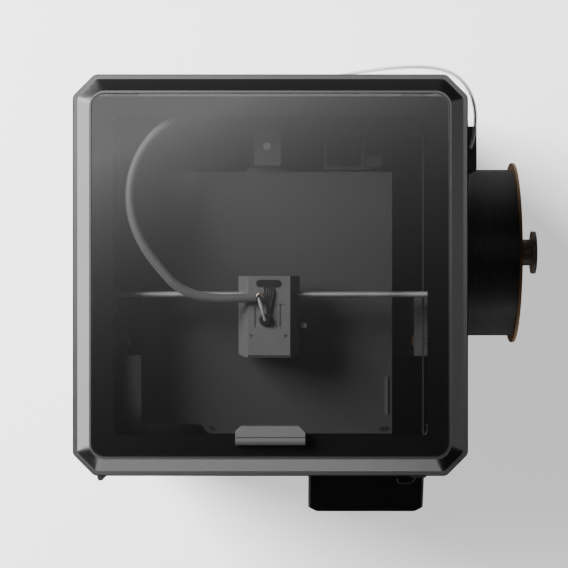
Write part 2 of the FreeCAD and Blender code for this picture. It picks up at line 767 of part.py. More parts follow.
def exhaust_fan():
    """The square fan frame behind the grille, with a filter cassette before it."""
    body = new_body("fan_frame", kept=False)
    half = dims.fan_side / 2
    rear = half_y - dims.wall
    low = rear - dims.fan_deep
    x = dims.fan_x
    z = dims.fan_z
    drawing = new_sketch(body, "XZ_Plane", low)
    draw_box(drawing, (x - half, z - half), (x + half, z + half))
    extrude(body, "PartDesign::Pad", drawing, dims.fan_deep)
    pocket_circles(body, "XZ_Plane", low - 1, rear + 1, [((x, z), dims.fan_bore)])
    round_edges(body, 4, along(Y, lambda middle: abs(middle.x - x.value) > half.value - 1))
    spokes = new_sketch(body, "XZ_Plane", rear - 2)
    draw_box(spokes, (x - half + 1, z - 2), (x + half - 1, z + 2))
    extrude(body, "PartDesign::Pad", spokes, 2)
    upright = new_sketch(body, "XZ_Plane", rear - 2)
    draw_box(upright, (x - 2, z - half + 1), (x + 2, z + half - 1))
    extrude(body, "PartDesign::Pad", upright, 2)
    pad_circles(body, "XZ_Plane", rear - 4, rear, [((x, z), 15)])
    cassette = new_body("carbon_filter", kept=False)
    deep = 16
    drawing = new_sketch(cassette, "XZ_Plane", low - deep)
    draw_box(drawing, (x - half + 4, z - half + 4), (x + half - 4, z + half - 4))
    extrude(cassette, "PartDesign::Pad", drawing, deep)
    cells = []
    for i in range(5):
        for j in range(5):
            corner = (x - half + 8 + 13 * i, z - half + 8 + 13 * j)
            cells.append((corner, (corner[0] + 11, corner[1] + 11)))
    pocket_boxes(cassette, "XZ_Plane", low - deep - 1, low - deep + 6, cells)
    keep(group([body, cassette]), "exhaust_fan_frame")


def fan_rotor(label, centre, radius, hub, deep, blades):
    """A hub with tilted blades that turns about Y."""
    solids = [cylinder(Y, centre, hub, deep)]
    for i in range(blades):
        blade = doc.addObject("Part::Box", "blade")
        bind(blade, "Length", as_size(radius) - hub + 1)
        bind(blade, "Width", 1.4)
        bind(blade, "Height", as_size(deep) * 0.9)
        turn = FreeCAD.Rotation(Y, 360 / blades * i)
        middle = Vector(*[as_size(number).value for number in centre])
        middle.y += as_size(deep).value * 0.12
        root = Vector(as_size(hub).value - 1, 0.4, -as_size(deep).value * 0.3)
        local = FreeCAD.Placement(root, FreeCAD.Rotation(X, -58))
        blade.Placement = FreeCAD.Placement(middle, turn) * local
        solids.append(blade)
    keep(fuse(*solids), label)


def chamber_camera():
    inner = half_x - dims.wall
    case = block((-inner, -158, 368), (18 - inner, -134, 392))
    barrel = cylinder(X, (16 - inner, -146, 380), 6, 6)
    keep(fuse(case, barrel), "chamber_camera")


def led_strip():
    inner = half_x - dims.wall
    keep(block((-inner, -120, 444), (4 - inner, 120, 452)), "led_strip")


def purge_chute():
    """The bin that catches wasted filament behind the plate, and the wiper on its side."""
    body = new_body("waste_bin", kept=False)
    rear = half_y - dims.wall
    pad_polygon(body, "XY_Plane", 300, 372, [(56, 112), (99, 112), (99, rear), (56, rear)])
    pocket_boxes(body, "XY_Plane", 310, 373, [((59, 115), (96, 148))])
    pocket_boxes(body, "XZ_Plane", 110, 160, [((66, 290), (89, 330))])
    arm = block((99, 112, 362), (118, 126, 370))
    pad = block((101, 114, 370), (116, 124, 378))
    keep(group([body, fuse(arm, pad)]), "purge_chute")


def loom_anchor():
    """The clip on the rear wall that the loom comes out of."""
    rear = half_y - dims.wall
    return block((-50, 163, 441), (-34, rear, 459))


def lid_hinge_mounts():
    """A pin between two low posts at the bottom of each hinge pocket."""
    y = dims.lid_axis_y
    z = dims.lid_axis_z
    wide = dims.lid_post_wide
    reach = dims.lid_barrel_length / 2 + dims.lid_post_gap
    solids = []
    for middle in both_sides(dims.lid_barrel_x):
        pin_start = (middle - reach - wide, y, z)
        pin = cylinder(X, pin_start, dims.lid_pin_radius, 2 * (reach + wide))
        posts = []
        for start in (middle - reach - wide, middle + reach):
            low = (start, y - 2.1, dims.hinge_floor)
            posts.append(block(low, (start + wide, dims.hinge_rear, z + 0.4)))
        solids.append(fuse(pin, *posts))
    return solids


def door_levels():
    """The lower end of each door hinge barrel."""
    return (150, 396)


def door_hinge_mounts():
    """Pins with a lug above and below each barrel, on the strip beside the door."""
    x = -dims.door_pin_x
    y = -half_y - dims.door_pin_out
    face = dims.door_thick + 0.3 - half_y
    solids = []
    for level in door_levels():
        pieces = [cylinder(Z, (x, y, level - 7), dims.door_pin_radius, 44)]
        for low in (level - 8.4, level + 30.4):
            pieces.append(cylinder(Z, (x, y, low), dims.door_barrel_radius, 8))
            lug_low = (x - 2.4, y, low)
            pieces.append(block(lug_low, (x + 1.9, face, low + 8)))
        solids.append(fuse(*pieces))
    return solids


def case_screws():
    solids = []
    for x in (-165, 0, 165):
        for z in (84, 180, 330, 426):
            solids.append(cylinder(Y, (x, half_y, z), 3.4, 1.4))
    keep(group(solids), "case_screws")


# Spool side -----------------------------------------------------------------------------------

def filament_sensor():
    """The block on the right wall that the filament runs up through, with a collar each end."""
    body = new_body("filament_sensor")
    low = dims.sensor_low
    wall_x = half_x
    points = [(wall_x, dims.sensor_front), (dims.sensor_out, dims.sensor_front),
              (dims.sensor_out, dims.sensor_rear), (wall_x, dims.sensor_rear)]
    pad_polygon(body, "XY_Plane", low, dims.sensor_high, points)
    round_edges(body, 3, along(Z, lambda middle: middle.x > wall_x.value + 5))
    place = (dims.socket_x, dims.socket_y)
    pad_circles(body, "XY_Plane", dims.sensor_high - 1, dims.socket_top, [(place, dims.socket_radius)])
    pad_circles(body, "XY_Plane", low - 5, low + 1, [(place, 4)])


def spool_holder():
    x = half_x
    z = dims.spool_z + dims.core_bore - dims.holder_radius - 0.15
    place = (x, dims.spool_y, z)
    foot = cylinder(X, place, 30, 5)
    rod = cylinder(X, place, dims.holder_radius, dims.holder_end - x)
    cap_x = dims.holder_end - dims.holder_cap_thick
    cap = cylinder(X, (cap_x, dims.spool_y, z), dims.holder_cap_radius, dims.holder_cap_thick)
    keep(fuse(foot, rod, cap), "spool_holder")


def spool():
    """Two card flanges on a core, and the wound filament between them."""
    low = (dims.spool_in, dims.spool_y, dims.spool_z)
    inner = (dims.spool_in + dims.flange_thick, dims.spool_y, dims.spool_z)
    outer = (dims.spool_out - dims.flange_thick, dims.spool_y, dims.spool_z)
    width = dims.spool_out - dims.spool_in
    flanges = [cylinder(X, place, dims.spool_radius, dims.flange_thick) for place in (low, outer)]
    core = cylinder(X, low, dims.core_radius, width)
    start = (dims.spool_in - 1, dims.spool_y, dims.spool_z)
    bore = cylinder(X, start, dims.core_bore, width + 2)
    keep(cut(fuse(core, *flanges), bore), "spool_reel")
    winding = cylinder(X, inner, dims.winding_radius, width - 2 * dims.flange_thick)
    hole = cylinder(X, low, dims.core_radius, width)
    keep(cut(winding, hole), "filament_winding")


def screen():
    """The touch screen's housing and its glass, sloping down to the front."""
    body = new_body("screen_housing")
    front = dims.screen_front
    back = -half_y
    low_z = dims.screen_front_z
    high_z = dims.screen_back_z + 1.8
    points = [(back, high_z), (front, low_z), (front + 1, low_z - 5), (front + 7, low_z - 9),
              (back, high_z - 14)]
    pad_polygon(body, "YZ_Plane", dims.screen_left, dims.screen_right, points)
    neck = [(back, high_z - 10), (back, 62), (back - 34, 66)]
    pad_polygon(body, "YZ_Plane", dims.screen_left + 30, dims.screen_right - 30, neck)
    leg_x = dims.screen_cut_x
    leg_y = dims.screen_cut_y
    drawing = new_sketch(body, "XY_Plane", 20)
    draw_polygon(drawing, [(dims.screen_left - 1, front - 1), (dims.screen_left + leg_x, front - 1),
                           (dims.screen_left - 1, front + leg_y)])
    draw_polygon(drawing, [(dims.screen_right + 1, front - 1), (dims.screen_right + 1, front + leg_y),
                           (dims.screen_right - leg_x, front - 1)])
    extrude(body, "PartDesign::Pocket", drawing, 100)
    glass = new_body("screen_glass")
    run = dims.screen_front.value - back.value
    rise = low_z.value - high_z.value
    tilt = math.atan2(rise, run) - math.pi
    length = math.hypot(run, rise)
    side_inset = 2.6
    left = dims.screen_left + side_inset
    right = dims.screen_right - side_inset
    near = 0.3 - length
    cut_x = 7.6
    cut_y = 4.6
    outline = [(left, near + cut_y), (left + cut_x, near), (right - cut_x, near),
               (right, near + cut_y), (right, -2), (left, -2)]
    pad_polygon(glass, "XY_Plane", 0, dims.screen_glass_thick, outline)
    turn = FreeCAD.Rotation(X, math.degrees(tilt))
    glass.Placement = FreeCAD.Placement(Vector(0, back.value, high_z.value), turn)


def rear_tube_port():
    """The block on the rear wall that the feed tube comes out of, upwards."""
    x = dims.port_x
    return block((x - 8, half_y, dims.port_low), (x + 8, half_y + 10.5, dims.port_high))


inner_frame()
power_supply()
mainboard()
power_inlet()
rocker_switch()
guide_rods()
xy_drive()
exhaust_fan()
fan_rotor("exhaust_fan_rotor", (dims.fan_x, half_y - dims.wall - 18, dims.fan_z), 35, 13, 13, 7)
chamber_camera()
led_strip()
purge_chute()
keep(group([loom_anchor(), rear_tube_port()]), "wall_ports")
keep(group(lid_hinge_mounts() + door_hinge_mounts()), "hinge_mounts")
case_screws()
filament_sensor()
spool_holder()
spool()
screen()


# Lid and door ---------------------------------------------------------------------------------

def lid():
    """The glass with its bevelled rear edge, the hinge leaves under it and the pull on it."""
    glass = new_body("lid_glass")
    across = dims.glass_half_x
    deep = dims.glass_half_y
    drawing = new_sketch(glass, "XY_Plane", dims.bezel_top - 1.9)
    draw_box(drawing, (-across, -deep), (across, deep))
    extrude(glass, "PartDesign::Pad", drawing, dims.glass_thick - 0.1)
    round_edges(glass, dims.glass_round, along(Z))
    under = dims.bezel_top - 1.9
    top = dims.bezel_top + 2
    bevel = [(deep - 3.4, under - 1), (deep + 1, under - 1), (deep + 1, under + 3.4)]
    pocket_polygon(glass, "YZ_Plane", -across - 1, across + 1, bevel)
    leaves = []
    pin_y = dims.lid_axis_y
    foot_z = dims.hinge_floor + 0.6
    pad_top = under - 0.05
    for middle in both_sides(dims.lid_barrel_x):
        start = middle - dims.lid_barrel_length / 2
        end = start + dims.lid_barrel_length
        axis = (start, pin_y, dims.lid_axis_z)
        barrel = cylinder(X, axis, dims.lid_barrel_radius, dims.lid_barrel_length)
        arm = block((start, pin_y - 8.3, foot_z), (end, pin_y, foot_z + 1.4))
        upright = block((start, pin_y - 8.3, foot_z), (end, pin_y - 6.9, pad_top))
        pad = block((start, pin_y - 11.5, pad_top - 1.15), (end, pin_y - 6.9, pad_top))
        bore_radius = dims.lid_pin_radius + dims.running_fit
        bore = cylinder(X, axis, bore_radius, dims.lid_barrel_length)
        leaves.append(cut(fuse(barrel, arm, upright, pad), bore))
    keep(group(leaves), "lid_hinge_leaves")
    handle = new_body("lid_handle")
    half = dims.handle_wide / 2
    rear = -dims.handle_rear_y
    front = rear - dims.handle_deep
    leg = dims.handle_cut
    points = [(-half, front), (half, front), (half, rear - leg), (half - leg, rear),
              (leg - half, rear), (-half, rear - leg)]
    pad_polygon(handle, "XY_Plane", top, top + dims.handle_high, points)
    level = top.value + dims.handle_high.value
    front_edge = along(X, lambda middle: middle.y < front.value + 0.5 and middle.z > level - 0.5)
    round_edges(handle, 5, front_edge)
    groove_y = rear - 10.6
    groove = [((-half - 1, groove_y - 1.2), (half + 1, groove_y))]
    pocket_boxes(handle, "XY_Plane", level - 1.2, level + 1, groove)
    scoop = [(front - 1, top + 1.2), (front + 6, top + 1.2), (front + 9, top + 3.4),
             (front - 1, top + 3.4)]
    pocket_polygon(handle, "YZ_Plane", -half + 8, half - 8, scoop)


def door():
    glass = new_body("door_glass")
    half = dims.door_half
    drawing = new_sketch(glass, "XZ_Plane", -half_y)
    draw_box(drawing, (-half, dims.door_low), (half, dims.door_high))
    extrude(glass, "PartDesign::Pad", drawing, dims.door_thick)
    round_edges(glass, 5, along(Y))
    x = -dims.door_pin_x
    y = -half_y - dims.door_pin_out
    hinges = []
    for level in door_levels():
        barrel = cylinder(Z, (x, y, level), dims.door_barrel_radius, 30)
        leaf = block((x, -half_y - 2.4, level), (x + 24, -half_y, level + 30))
        bore = cylinder(Z, (x, y, level), dims.door_pin_radius + dims.running_fit, 30)
        hinges.append(cut(fuse(barrel, leaf), bore))
    keep(group(hinges), "door_hinges")
    handle = new_body("door_handle")
    edge = half - 6
    face = -half_y
    points = [(edge, face), (edge, face - 13), (edge - 16, face - 13), (edge - 16, face - 9),
              (edge - 6, face - 9), (edge - 6, face)]
    pad_polygon(handle, "XY_Plane", 250, 340, points)


# Gantry ---------------------------------------------------------------------------------------

def gantry():
    y = dims.gantry_y
    length = dims.x_rod_half * 2
    rods = [cylinder(X, (-dims.x_rod_half, y, z), dims.x_rod_radius, length)
            for z in (dims.x_rod_low_z, dims.x_rod_high_z)]
    keep(group(rods), "x_rods")
    carriages = []
    half = dims.carriage_half_y
    for side, rod_x in zip((-1, 1), both_sides(dims.y_rod_x)):
        ends = sorted((side * dims.carriage_in, side * dims.carriage_out), key=lambda s: s.value)
        case = block((ends[0], y - half, dims.carriage_low), (ends[1], y + half, dims.carriage_high))
        start = (rod_x, y - half - 1, dims.y_rod_z)
        bore = cylinder(Y, start, dims.y_rod_radius + dims.running_fit, 2 * half + 2)
        seats = [cylinder(X, (-dims.x_rod_half, y, z), dims.x_rod_radius, length)
                 for z in (dims.x_rod_low_z, dims.x_rod_high_z)]
        carriages.append(cut(case, bore, *seats))
    keep(group(carriages), "y_carriages")
    strands = []
    for offset in (-2.4, 1.2):
        low = (-dims.carriage_in, y + offset, 425)
        strands.append(block(low, (dims.carriage_in, y + offset + 1.2, 431)))
    keep(group(strands), "cross_belts")


# Toolhead -------------------------------------------------------------------------------------

def toolhead_cover():
    """The moulded hood: slanted sides, cut front corners, a connector slot and a recess on top."""
    body = new_body("toolhead_cover")
    front = dims.head_front
    rear = dims.head_rear
    low = dims.head_low
    top = dims.head_top
    wall = dims.head_wall
    hood = [(dims.head_left, low), (dims.head_right, low), (dims.head_right, dims.head_shoulder),
            (dims.head_top_right, top), (dims.head_top_left, top), (dims.head_left, dims.head_shoulder)]
    pad_polygon(body, "XZ_Plane", front, rear, hood)
    nose = new_sketch(body, "XY_Plane", low - 1)
    left = dims.head_left
    right = dims.head_right
    draw_polygon(nose, [(left - 1, front - 1), (left + 11.7, front - 1), (left - 1, front + 3.1)])
    draw_polygon(nose, [(right + 1, front - 1), (right + 1, front + 3.1), (right - 11.7, front - 1)])
    extrude(body, "PartDesign::Pocket", nose, 62)
    brow = [(front - 1, top - 3.8), (front + 3.8, top + 1), (front - 1, top + 1)]
    pocket_polygon(body, "YZ_Plane", left - 1, right + 1, brow)
    inside = [(dims.head_left + wall, low - 1), (dims.head_right - wall, low - 1),
              (dims.head_right - wall, dims.head_shoulder - 1), (dims.head_top_right - wall, top - wall),
              (dims.head_top_left + wall, top - wall), (dims.head_left + wall, dims.head_shoulder - 1)]
    pocket_polygon(body, "XZ_Plane", front + 13, rear - wall, inside)
    narrow = [(dims.head_left + 13, low - 1), (dims.head_right - 13, low - 1),
              (dims.head_right - 13, top - wall - 2), (dims.head_left + 13, top - wall - 2)]
    pocket_polygon(body, "XZ_Plane", front + wall, front + 14, narrow)
    pocket_boxes(body, "XZ_Plane", front + 44, rear + 1, [((-40, low - 1), (40, 411))])
    rod_y = dims.gantry_y
    rods = [((rod_y, z), dims.x_rod_radius + 0.6) for z in (dims.x_rod_low_z, dims.x_rod_high_z)]
    pocket_circles(body, "YZ_Plane", left - 1, right + 1, rods)
    belts = [((rod_y - 3.6, 424.2), (rod_y + 3.6, 431.8))]
    pocket_boxes(body, "YZ_Plane", left - 1, right + 1, belts)
    lever = [((-54.6, 424.4), (-48.4, 437.6))]
    pocket_boxes(body, "YZ_Plane", right - 7, right + 1, lever)
    pocket_boxes(body, "XZ_Plane", front - 1, front + 5, [((-16, z), (6, z + 3)) for z in (399, 405, 411)])
    recess = [((-16.1, -52.9), (8.3, -29.4)), ((9.4, -52.9), (14.2, -29.4))]
    pocket_boxes(body, "XY_Plane", top - 1, top + 1, recess)
    slot = [((-14.6, -12.3), (10.8, -4.7))]
    pocket_boxes(body, "XY_Plane", top - 1.2, top + 1, slot)
    round_edges(body, 3.7, along(Z, lambda middle: middle.z > top.value - 1.1 and middle.y > -13))
    screws = [((-18.6, -62.1), 1.8), ((16.2, -62.1), 1.8)]
    pocket_circles(body, "XY_Plane", top - 1.2, top + 1, screws)


def toolhead_carriage():
    """The bearing block on the two rods, with a slot for the belt."""
    y = dims.gantry_y
    case = block((-24, y - 15, 411), (22, y + 15, 443))
    start = -30
    bores = [cylinder(X, (start, y, z), dims.x_rod_radius + dims.running_fit, 60)
             for z in (dims.x_rod_low_z, dims.x_rod_high_z)]
    slot = block((start, y - 4, 424.2), (30, y + 4, 431.8))
    keep(cut(case, *bores, slot), "toolhead_carriage")


def hotend():
    x = dims.nozzle_x
    y = dims.nozzle_y
    solids = [cylinder(Z, (x, y, 390), 4, 32)]
    for level in range(397, 419, 3):
        solids.append(block((x - 10, y - 8, level), (x + 10, y + 8, level + 1.4)))
    heatsink = fuse(*solids)
    heater = block((x - 10, y - 8, 384), (x + 8, y + 8, 392))
    tip = doc.addObject("Part::Cone", "tip")
    bind(tip, "Radius1", 0.6)
    bind(tip, "Radius2", 4)
    bind(tip, "Height", 5.2)
    for name, number in zip("xyz", (x, y, dims.nozzle_tip)):
        bind(tip, f"Placement.Base.{name}", number)
    keep(group([heatsink, fuse(heater, tip), head_fan_frame()]), "hotend")


def extruder():
    """Motor, driven gear and idler gear either side of the filament's way."""
    reach = dims.gear_radius + dims.gear_gap / 2
    gear_y = dims.nozzle_y - dims.gear_wide / 2
    level = dims.gear_level
    drive_x = dims.nozzle_x + reach
    motor = cylinder(Y, (drive_x, -69, level), 14, 14)
    keep(motor, "extruder_motor")
    for label, x in (("drive_gear", drive_x), ("idler_gear", dims.nozzle_x - reach)):
        wheel = cylinder(Y, (x, gear_y, level), dims.gear_radius - 0.5, dims.gear_wide)
        start = gear_y - 6.2 if label == "drive_gear" else gear_y - 1
        axle = cylinder(Y, (x, start, level), 1.5, dims.gear_wide + 7)
        teeth = []
        for i in range(16):
            tooth = doc.addObject("Part::Box", "tooth")
            bind(tooth, "Length", 1.2)
            bind(tooth, "Width", dims.gear_wide)
            bind(tooth, "Height", 0.9)
            turn = FreeCAD.Rotation(Y, 360 / 16 * i)
            centre = Vector(x.value, gear_y.value, level.value)
            root = FreeCAD.Placement(Vector(dims.gear_radius.value - 1.2, 0, -0.45), FreeCAD.Rotation())
            tooth.Placement = FreeCAD.Placement(centre, turn) * root
            teeth.append(tooth)
        keep(fuse(wheel, axle, *teeth), label)


FAN_FRONT = -79


def head_fan_frame():
    x = dims.nozzle_x
    z = dims.fan_level
    front = FAN_FRONT
    frame = block((x - 13.5, front, z - 13.5), (x + 13.5, front + 9, z + 13.5))
    bore = cylinder(Y, (x, front - 1, z), dims.fan_radius + 0.7, 9)
    plate_holes = [cylinder(Y, (x + dx, front - 1, z + dz), 4, 12)
                   for dx, dz in ((7.5, 0), (-7.5, 0), (0, 7.5), (0, -7.5))]
    return cut(frame, bore, *plate_holes)


def tube_coupling():
    x = dims.nozzle_x
    y = dims.nozzle_y
    base = cylinder(Z, (x, y, 446), 6.35, 12)
    collar = cylinder(Z, (x, y, 458), 4.6, 3.4)
    return fuse(base, collar)


def loom_plug():
    """The connector in the slot on top of the hood and the clip that ends the loom."""
    top = dims.head_top
    low = top - 1.1
    pieces = [block((-10.8, -12, low), (7, -5, top + 1))]
    for x in (-10.8, 7):
        pieces.append(cylinder(Z, (x, -8.5, low), 3.5, 2.1))
        pieces.append(cylinder(Z, (x, -8.5, top), 1.3, 1.5))
    clip = block((-15.5, -25, top + 0.1), (-11.5, -20.2, top + 1.2))
    return [fuse(*pieces), clip]


def cutter_lever():
    """The sprung lever on the hood's right side that shears the filament when pushed in."""
    right = dims.head_right
    keep(block((right + 0.4, -54, 425), (right + 7, -49, 437)), "cutter_lever")


# Bed ------------------------------------------------------------------------------------------

def bed_frame():
    """The frame with its three arms, and the posts that the heated bed stands on."""
    body = new_body("bed_arms", kept=False)
    x = dims.bed_x
    low = dims.bed_frame_low
    half = dims.plate_half - 14
    front = dims.plate_front + 14
    rear = dims.plate_rear - 14
    pad_polygon(body, "XY_Plane", low, dims.bed_frame_high,
                [(x - half, front), (x + half, front), (x + half, rear), (x - half, rear)])
    rim = 24
    middle = (front + rear) / 2
    windows = []
    for left, right in ((x - half + rim, x - 9), (x + 9, x + half - rim)):
        for near, far in ((front + rim, middle - 9), (middle + 9, rear - rim)):
            windows.append(((left, near), (right, far)))
    pocket_boxes(body, "XY_Plane", low - 1, dims.bed_frame_high + 1, windows)
    arms = new_sketch(body, "XY_Plane", low)
    near = dims.screw_y - 15
    far = dims.screw_y + dims.guide_step + 14
    for side, screw_x in zip((-1, 1), both_sides(dims.screw_x)):
        root = x + side * (half - 2)
        ends = sorted((root, screw_x + side * 14), key=lambda s: s.value)
        draw_box(arms, (ends[0], near), (ends[1], far))
    rear_x = dims.rear_screw_x
    draw_box(arms, (rear_x - 15, rear - 2), (rear_x + 15, dims.rear_screw_y + 14))
    extrude(body, "PartDesign::Pad", arms, dims.bed_frame_high - low)
    holes = [(place, dims.nut_radius) for place in screw_places()]
    guide_y = dims.screw_y + dims.guide_step
    holes += [((screw_x, guide_y), dims.nut_radius) for screw_x in both_sides(dims.screw_x)]
    pocket_circles(body, "XY_Plane", low - 1, dims.bed_frame_high + 1, holes)
    posts = []
    post_high = dims.plate_top - dims.plate_thick - dims.heater_thick - dims.bed_frame_high
    for post_x, post_y in ((-110, -130), (110, -130), (0, 84)):
        posts.append(cylinder(Z, (x + post_x, post_y, dims.bed_frame_high), 6, post_high))
    keep(group([body] + posts), "bed_frame")


def lift_nuts():
    """Flanged nuts on the lead screws and bushes on the guide rods."""
    solids = []
    for x, y in screw_places():
        barrel = cylinder(Z, (x, y, dims.bed_frame_low - 6), dims.nut_radius, 17)
        flange = cylinder(Z, (x, y, dims.bed_frame_high), dims.nut_flange, 3)
        radius = dims.screw_radius + dims.running_fit
        bore = cylinder(Z, (x, y, dims.bed_frame_low - 7), radius, 20)
        solids.append(cut(fuse(barrel, flange), bore))
    for x in both_sides(dims.screw_x):
        y = dims.screw_y + dims.guide_step
        barrel = cylinder(Z, (x, y, dims.bed_frame_low - 6), dims.nut_radius, 24)
        radius = dims.guide_radius + dims.running_fit
        solids.append(cut(barrel, cylinder(Z, (x, y, dims.bed_frame_low - 7), radius, 26)))
    keep(group(solids), "lift_nuts")


def heated_bed():
    x = dims.bed_x
    half = dims.plate_half - dims.bed_inset
    high = dims.plate_top - dims.plate_thick
    low = high - dims.heater_thick
    front = dims.plate_front + dims.bed_inset
    rear = dims.plate_rear - dims.bed_inset
    keep(block((x - half, front, low), (x + half, rear, high)), "heated_bed")


def build_plate():
    """The sprung steel sheet, with a tab at the rear and a grip flap at the front."""
    body = new_body("build_plate")
    x = dims.bed_x
    half = dims.plate_half
    front = dims.plate_front
    rear = dims.plate_rear
    flap = front - dims.flap_deep
    points = [
        (x - half, front), (x - half + 62, front), (x - half + 71, flap), (x + half, flap),
        (x + half, rear), (x + dims.tab_half, rear), (x + dims.tab_half - 2, rear + dims.tab_deep),
        (x - dims.tab_half + 2, rear + dims.tab_deep), (x - dims.tab_half, rear), (x - half, rear),
    ]
    pad_polygon(body, "XY_Plane", dims.plate_top - dims.plate_thick, dims.plate_top, points)


def lead_screws():
    for label, (x, y) in zip(("z_screw_left", "z_screw_right", "z_screw_rear"), screw_places()):
        length = dims.screw_high - dims.screw_low
        rod = cylinder(Z, (x, y, dims.screw_low), dims.screw_radius, length)
        wheel = cylinder(Z, (x, y, dims.z_belt_level - 0.5), dims.pulley_radius, dims.belt_high + 1)
        flange = cylinder(Z, (x, y, dims.z_belt_level - 2), dims.pulley_radius + 1.2, 1.4)
        keep(fuse(rod, wheel, flange), label)


# Tubes and loom -------------------------------------------------------------------------------

FEED_ROUTE = [
    (66, 208.6, 352), (66.5, 208.6, 372), (69, 208.2, 392), (75, 207.8, 412), (86, 208.2, 430),
    (102, 209.3, 443), (124, 211.2, 451.5), (148, 212.2, 455), (170, 210.3, 456),
    (186, 205, 455.5), (197.5, 195.5, 452.5), (205.5, 183, 447.5), (209.6, 168.5, 440.5),
    (210.4, 154.5, 431), (209.6, 143, 419.5), (208.6, 136, 407), (208.5, 134, 396),
]
REAR_LOOM = [
    (-50.1, 171, 450), (-62, 171, 450), (-80, 166.5, 453.4), (-98, 157.8, 457.5),
    (-117, 144.5, 461), (-132, 124, 463), (-141, 100, 464), (-143, 74, 464.6),
    (-137.5, 48, 465), (-124, 21, 465), (-103, -3, 464.6),
]
HEAD_LOOM = [
    (-102.87, -3.15, 464.6), (-96.5, -10.4, 464.4), (-79, -20, 463.6), (-54, -24, 462.4),
    (-33, -23.6, 461.4), (-14, -22.6, 461),
]
GUIDE_ROUTE = [(-12.1, -23.3, 462.6), (-10, -29, 464.9), (-7.6, -37, 465.4), (-5.2, -45.4, 461.4)]


def tube(route, radius, label):
    """A round tube along straight runs joined by tangent arcs."""
    points = [Vector(*place) for place in route]
    edges = []
    radii = []
    start = points[0]
    for before, corner, after in zip(points, points[1:], points[2:]):
        arriving = (corner - before).normalize()
        leaving = (after - corner).normalize()
        turn = arriving.getAngle(leaving)
        setback = 0.45 * min((corner - before).Length, (after - corner).Length)
        bend = setback / math.tan(turn / 2)
        radii.append(bend)
        enter = corner - arriving * setback
        leave = corner + leaving * setback
        inward = (leaving - arriving).normalize()
        bisector = bend / math.cos(turn / 2) - bend
        edges.append(Part.LineSegment(start, enter).toShape())
        edges.append(Part.Arc(enter, corner + inward * bisector, leave).toShape())
        start = leave
    edges.append(Part.LineSegment(start, points[-1]).toShape())
    path = Part.Wire(edges)
    heading = points[1] - points[0]
    section = Part.Wire(Part.Circle(points[0], heading, radius).toShape())
    pipe = path.makePipeShell([section], True, False)
    wanted = math.pi * radius ** 2 * path.Length
    print(f"{label}: length {path.Length:.1f}, volume {pipe.Volume / wanted:.4f} of section x length,"
          f" bend radii {' '.join(f'{bend:.0f}' for bend in radii)}")
    return feature(pipe, label)


lid()
door()
gantry()
toolhead_cover()
toolhead_carriage()
hotend()
extruder()
head_centre = (dims.nozzle_x, FAN_FRONT + 0.8, dims.fan_level)
fan_rotor("head_fan_rotor", head_centre, dims.fan_radius - 0.5, 5, 6.2, 7)
keep(group([tube_coupling()] + loom_plug()), "head_connectors")
cutter_lever()
bed_frame()
lift_nuts()
heated_bed()
build_plate()
lead_screws()
tube(FEED_ROUTE, dims.tube_radius.value, "feed_tube")
tube(REAR_LOOM, dims.loom_radius.value, "loom_rear")
tube(HEAD_LOOM, dims.loom_radius.value, "loom_head")
tube(GUIDE_ROUTE, dims.tube_radius.value - 0.2, "guide_tube")


# Check and write ------------------------------------------------------------------------------

def check_and_write():
    doc.recompute()
    for item in doc.Objects:
        if "Invalid" in item.State or "Error" in item.State:
            raise RuntimeError(f"{item.Name} {item.Label} failed: {item.State}")
    for item in doc.findObjects("PartDesign::Pocket"):
        if item.Shape.Volume > item.BaseFeature.Shape.Volume - 1e-3:
            raise RuntimeError(f"{item.Label} cuts nothing")
    for item in sub_parts:
        if item.Shape.isNull() or not item.Shape.isValid():
            raise RuntimeError(f"{item.Label} has no valid shape")
        item.Shape.exportStep(f"parts/{item.Label}.step")


check_and_write()
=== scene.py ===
import math

import bmesh
import bpy
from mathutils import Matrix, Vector


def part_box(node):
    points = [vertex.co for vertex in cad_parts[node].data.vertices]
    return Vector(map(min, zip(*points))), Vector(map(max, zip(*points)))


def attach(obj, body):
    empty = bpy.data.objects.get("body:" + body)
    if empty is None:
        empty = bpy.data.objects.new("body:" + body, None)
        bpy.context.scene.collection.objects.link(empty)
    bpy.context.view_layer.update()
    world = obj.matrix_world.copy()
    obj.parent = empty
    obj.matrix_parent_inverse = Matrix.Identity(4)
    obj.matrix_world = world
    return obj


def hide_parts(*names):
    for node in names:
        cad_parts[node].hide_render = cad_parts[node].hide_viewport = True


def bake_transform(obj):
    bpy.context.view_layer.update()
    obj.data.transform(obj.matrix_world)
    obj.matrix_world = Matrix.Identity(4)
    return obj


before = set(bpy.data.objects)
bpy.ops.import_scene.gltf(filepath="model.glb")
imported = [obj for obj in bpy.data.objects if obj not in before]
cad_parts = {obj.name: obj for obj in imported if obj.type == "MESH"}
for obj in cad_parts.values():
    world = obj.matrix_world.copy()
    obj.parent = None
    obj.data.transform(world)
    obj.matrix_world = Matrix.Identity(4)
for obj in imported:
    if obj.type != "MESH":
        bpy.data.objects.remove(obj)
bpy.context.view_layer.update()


# Studio: a pale floor, a soft light from the left and rear, a low light from the left that the
# case's slopes pick up, and a cloudy panel overhead that the lid's glass mirrors. The camera looks
# straight down on the lid.

LID_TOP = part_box("lid_glass")[1].z
CAMERA_OVER_LID = 2.13
CAMERA_X, CAMERA_Y = 0.0138, -0.009
VIEW_WIDTH = 0.5706
SENSOR_WIDTH = 36

camera = bpy.data.objects.new("camera", bpy.data.cameras.new("camera"))
bpy.context.scene.collection.objects.link(camera)
camera.location = (CAMERA_X, CAMERA_Y, LID_TOP + CAMERA_OVER_LID)
camera.data.sensor_width = SENSOR_WIDTH
camera.data.lens = SENSOR_WIDTH * CAMERA_OVER_LID / VIEW_WIDTH
camera.data.clip_end = 50
bpy.context.scene.camera = camera


